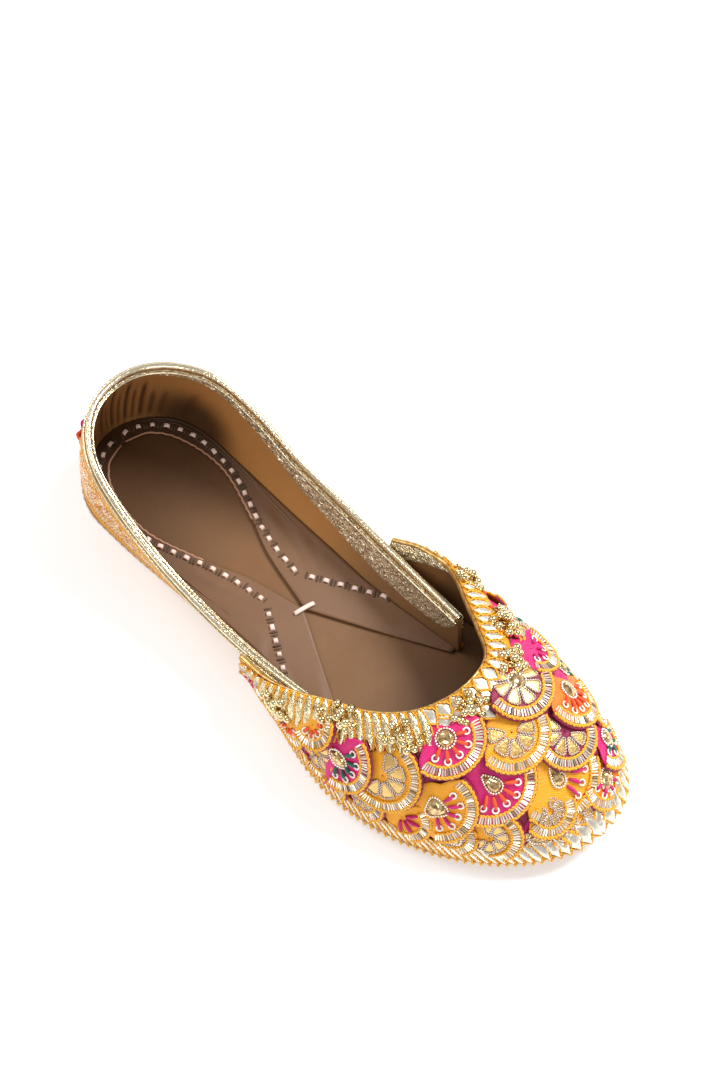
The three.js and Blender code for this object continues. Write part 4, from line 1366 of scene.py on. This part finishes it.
def make_rand():
    """Leather rand and cord that close the seam between the sole and the upper."""
    rand = Piece("sole_rand", "sole_leather", SOLE_LEATHER, MARIGOLD_CORD, RAW_LEATHER)
    turn = np.linspace(0, math.pi, 160)
    x = 0.05 + (SOLE_LENGTH - 0.1) * (1 - np.cos(turn)) / 2
    for z, inset, radius, which in ((4.15, 1.1, 1.0, 0), (5.5, 0.9, 0.75, 1)):
        line = np.concatenate([edge(x, -1, inset, z), edge(x[::-1], 1, inset, z)[1:]])
        line[[0, -1]] = (inset, 0, z)
        rand.cord(line, UP, radius, which, sides=8)
    for side in (-1, 1):
        line = Line(edge(x[2:-2], side, -0.05, 1.9), 2)
        count = int(line.length / RAND_STITCH_PITCH)
        for k in range(count):
            share = (k + np.linspace(0.1, 0.78, 5)) / count
            path = line.at(share)
            out = unit(path - points(path[:, 0] * 0.9 + 12, 0 * path[:, 0], path[:, 2]))
            sunk = (0.05 - 0.3 * np.linspace(-1, 1, 5) ** 4)[:, None]
            rand.cord(path + out * sunk, out, 0.32, 2, sides=5)
    rand.sew()


def make_heel_motif():
    motif = Piece("heel_tassel_motif", "magenta_cloth", MAGENTA_THREAD, ORANGE_THREAD, MARIGOLD_CORD,
                  PEARL_SEQUIN)
    half = QUARTER_WALL / 2
    patch = Patch(quarter_face, 0.468, 0.5, -8, 16)
    for a in np.linspace(-1.3, 1.3, 9):
        t = np.linspace(0, 1, 6)
        for start, end, finish in ((1.2, 5.4, 0), (6.2, 9.6, 1)):
            r = start + (end - start) * t
            x, y = r * math.sin(a), r * math.cos(a)
            path = patch.at(x, y, half + 0.9 + 1.3 * np.sin(math.pi * t))
            motif.cord(path, quarter_face.out(*patch.spot(x, y)), 0.75, finish, sides=6)
    for r, radius in ((5.8, 0.5), (10.4, 0.6)):
        a = np.linspace(-1.6, 1.6, 60)
        x, y = r * np.sin(a), r * np.cos(a)
        motif.cord(patch.at(x, y, half + 0.7), quarter_face.out(*patch.spot(x, y)), radius, 2, sides=6)
    a = around(26, -150, 150)
    base = patch.at(np.zeros(1), np.full(1, 11.0), half + 0.4)[0]
    out = np.array((-0.95, -0.3, 0.1))
    away = 1 + np.cos(a + math.pi)
    sideways = np.outer(2.8 * np.sin(a), (0.3, 0.95, 0))
    path = base + np.outer(1.7 * away, out) + sideways + np.outer(-1.5 * away, UP)
    motif.cord(path, UP, 0.42, 2, sides=6)
    motif.sew()


# ---------------------------------------------------------------- studio
CAMERA_TURN, CAMERA_RISE = 45.54, 61.35
CAMERA_PLACE = (396.11, -249.79, 752.6)
CAMERA_LENS = 74.69


def make_studio():
    camera = bpy.data.objects.new("camera", bpy.data.cameras.new("camera"))
    camera.data.lens = CAMERA_LENS
    camera.data.sensor_fit = "VERTICAL"
    camera.data.sensor_height = 36
    camera.data.clip_start = 0.01
    camera.location = Vector((np.array(CAMERA_PLACE) - FRAME_CENTRE) * MM)
    camera.rotation_euler = (math.radians(90 - CAMERA_RISE), 0, math.radians(CAMERA_TURN))
    bpy.context.scene.collection.objects.link(camera)
    bpy.context.scene.camera = camera

    floor = bpy.data.meshes.new("floor")
    work = bmesh.new()
    bmesh.ops.create_grid(work, x_segments=1, y_segments=1, size=15)
    work.to_mesh(floor)
    work.free()
    floor.materials.append(plain("white seamless paper", "F4F4F4", "F1F1F1", 60, Roughness=0.9,
                                 Emission_Color=(1, 1, 1, 1), Emission_Strength=0.26))
    stage = bpy.data.objects.new("floor", floor)
    bpy.context.scene.collection.objects.link(stage)

    for name, place, size, power in (
        ("key", (0.3, 1.35, 1.7), 0.9, 54),
        ("fill", (-1.3, -0.5, 1.6), 1.2, 12),
        ("front", (1.2, -1.2, 1.5), 0.8, 13),
    ):
        lamp = bpy.data.lights.new(name, "AREA")
        lamp.shape = "DISK"
        lamp.size = size
        lamp.energy = power
        thing = bpy.data.objects.new(name, lamp)
        thing.location = place
        thing.rotation_euler = Vector(place).to_track_quat("Z", "Y").to_euler()
        bpy.context.scene.collection.objects.link(thing)

    world = bpy.data.worlds.new("white tent")
    world.use_nodes = True
    world.node_tree.nodes["Background"].inputs["Color"].default_value = (1, 1, 1, 1)
    world.node_tree.nodes["Background"].inputs["Strength"].default_value = 0.5
    bpy.context.scene.world = world
    bpy.context.scene.view_settings.view_transform = "Standard"
    bpy.context.scene.view_settings.look = "None"


make_studio()
make_sole()
make_quarter()
make_vamp()
make_flap()
make_scallops()
make_throat_braid()
make_sole_braid()
make_beads()
make_stitches()
make_quarter_trims()
make_rand()
make_heel_motif()
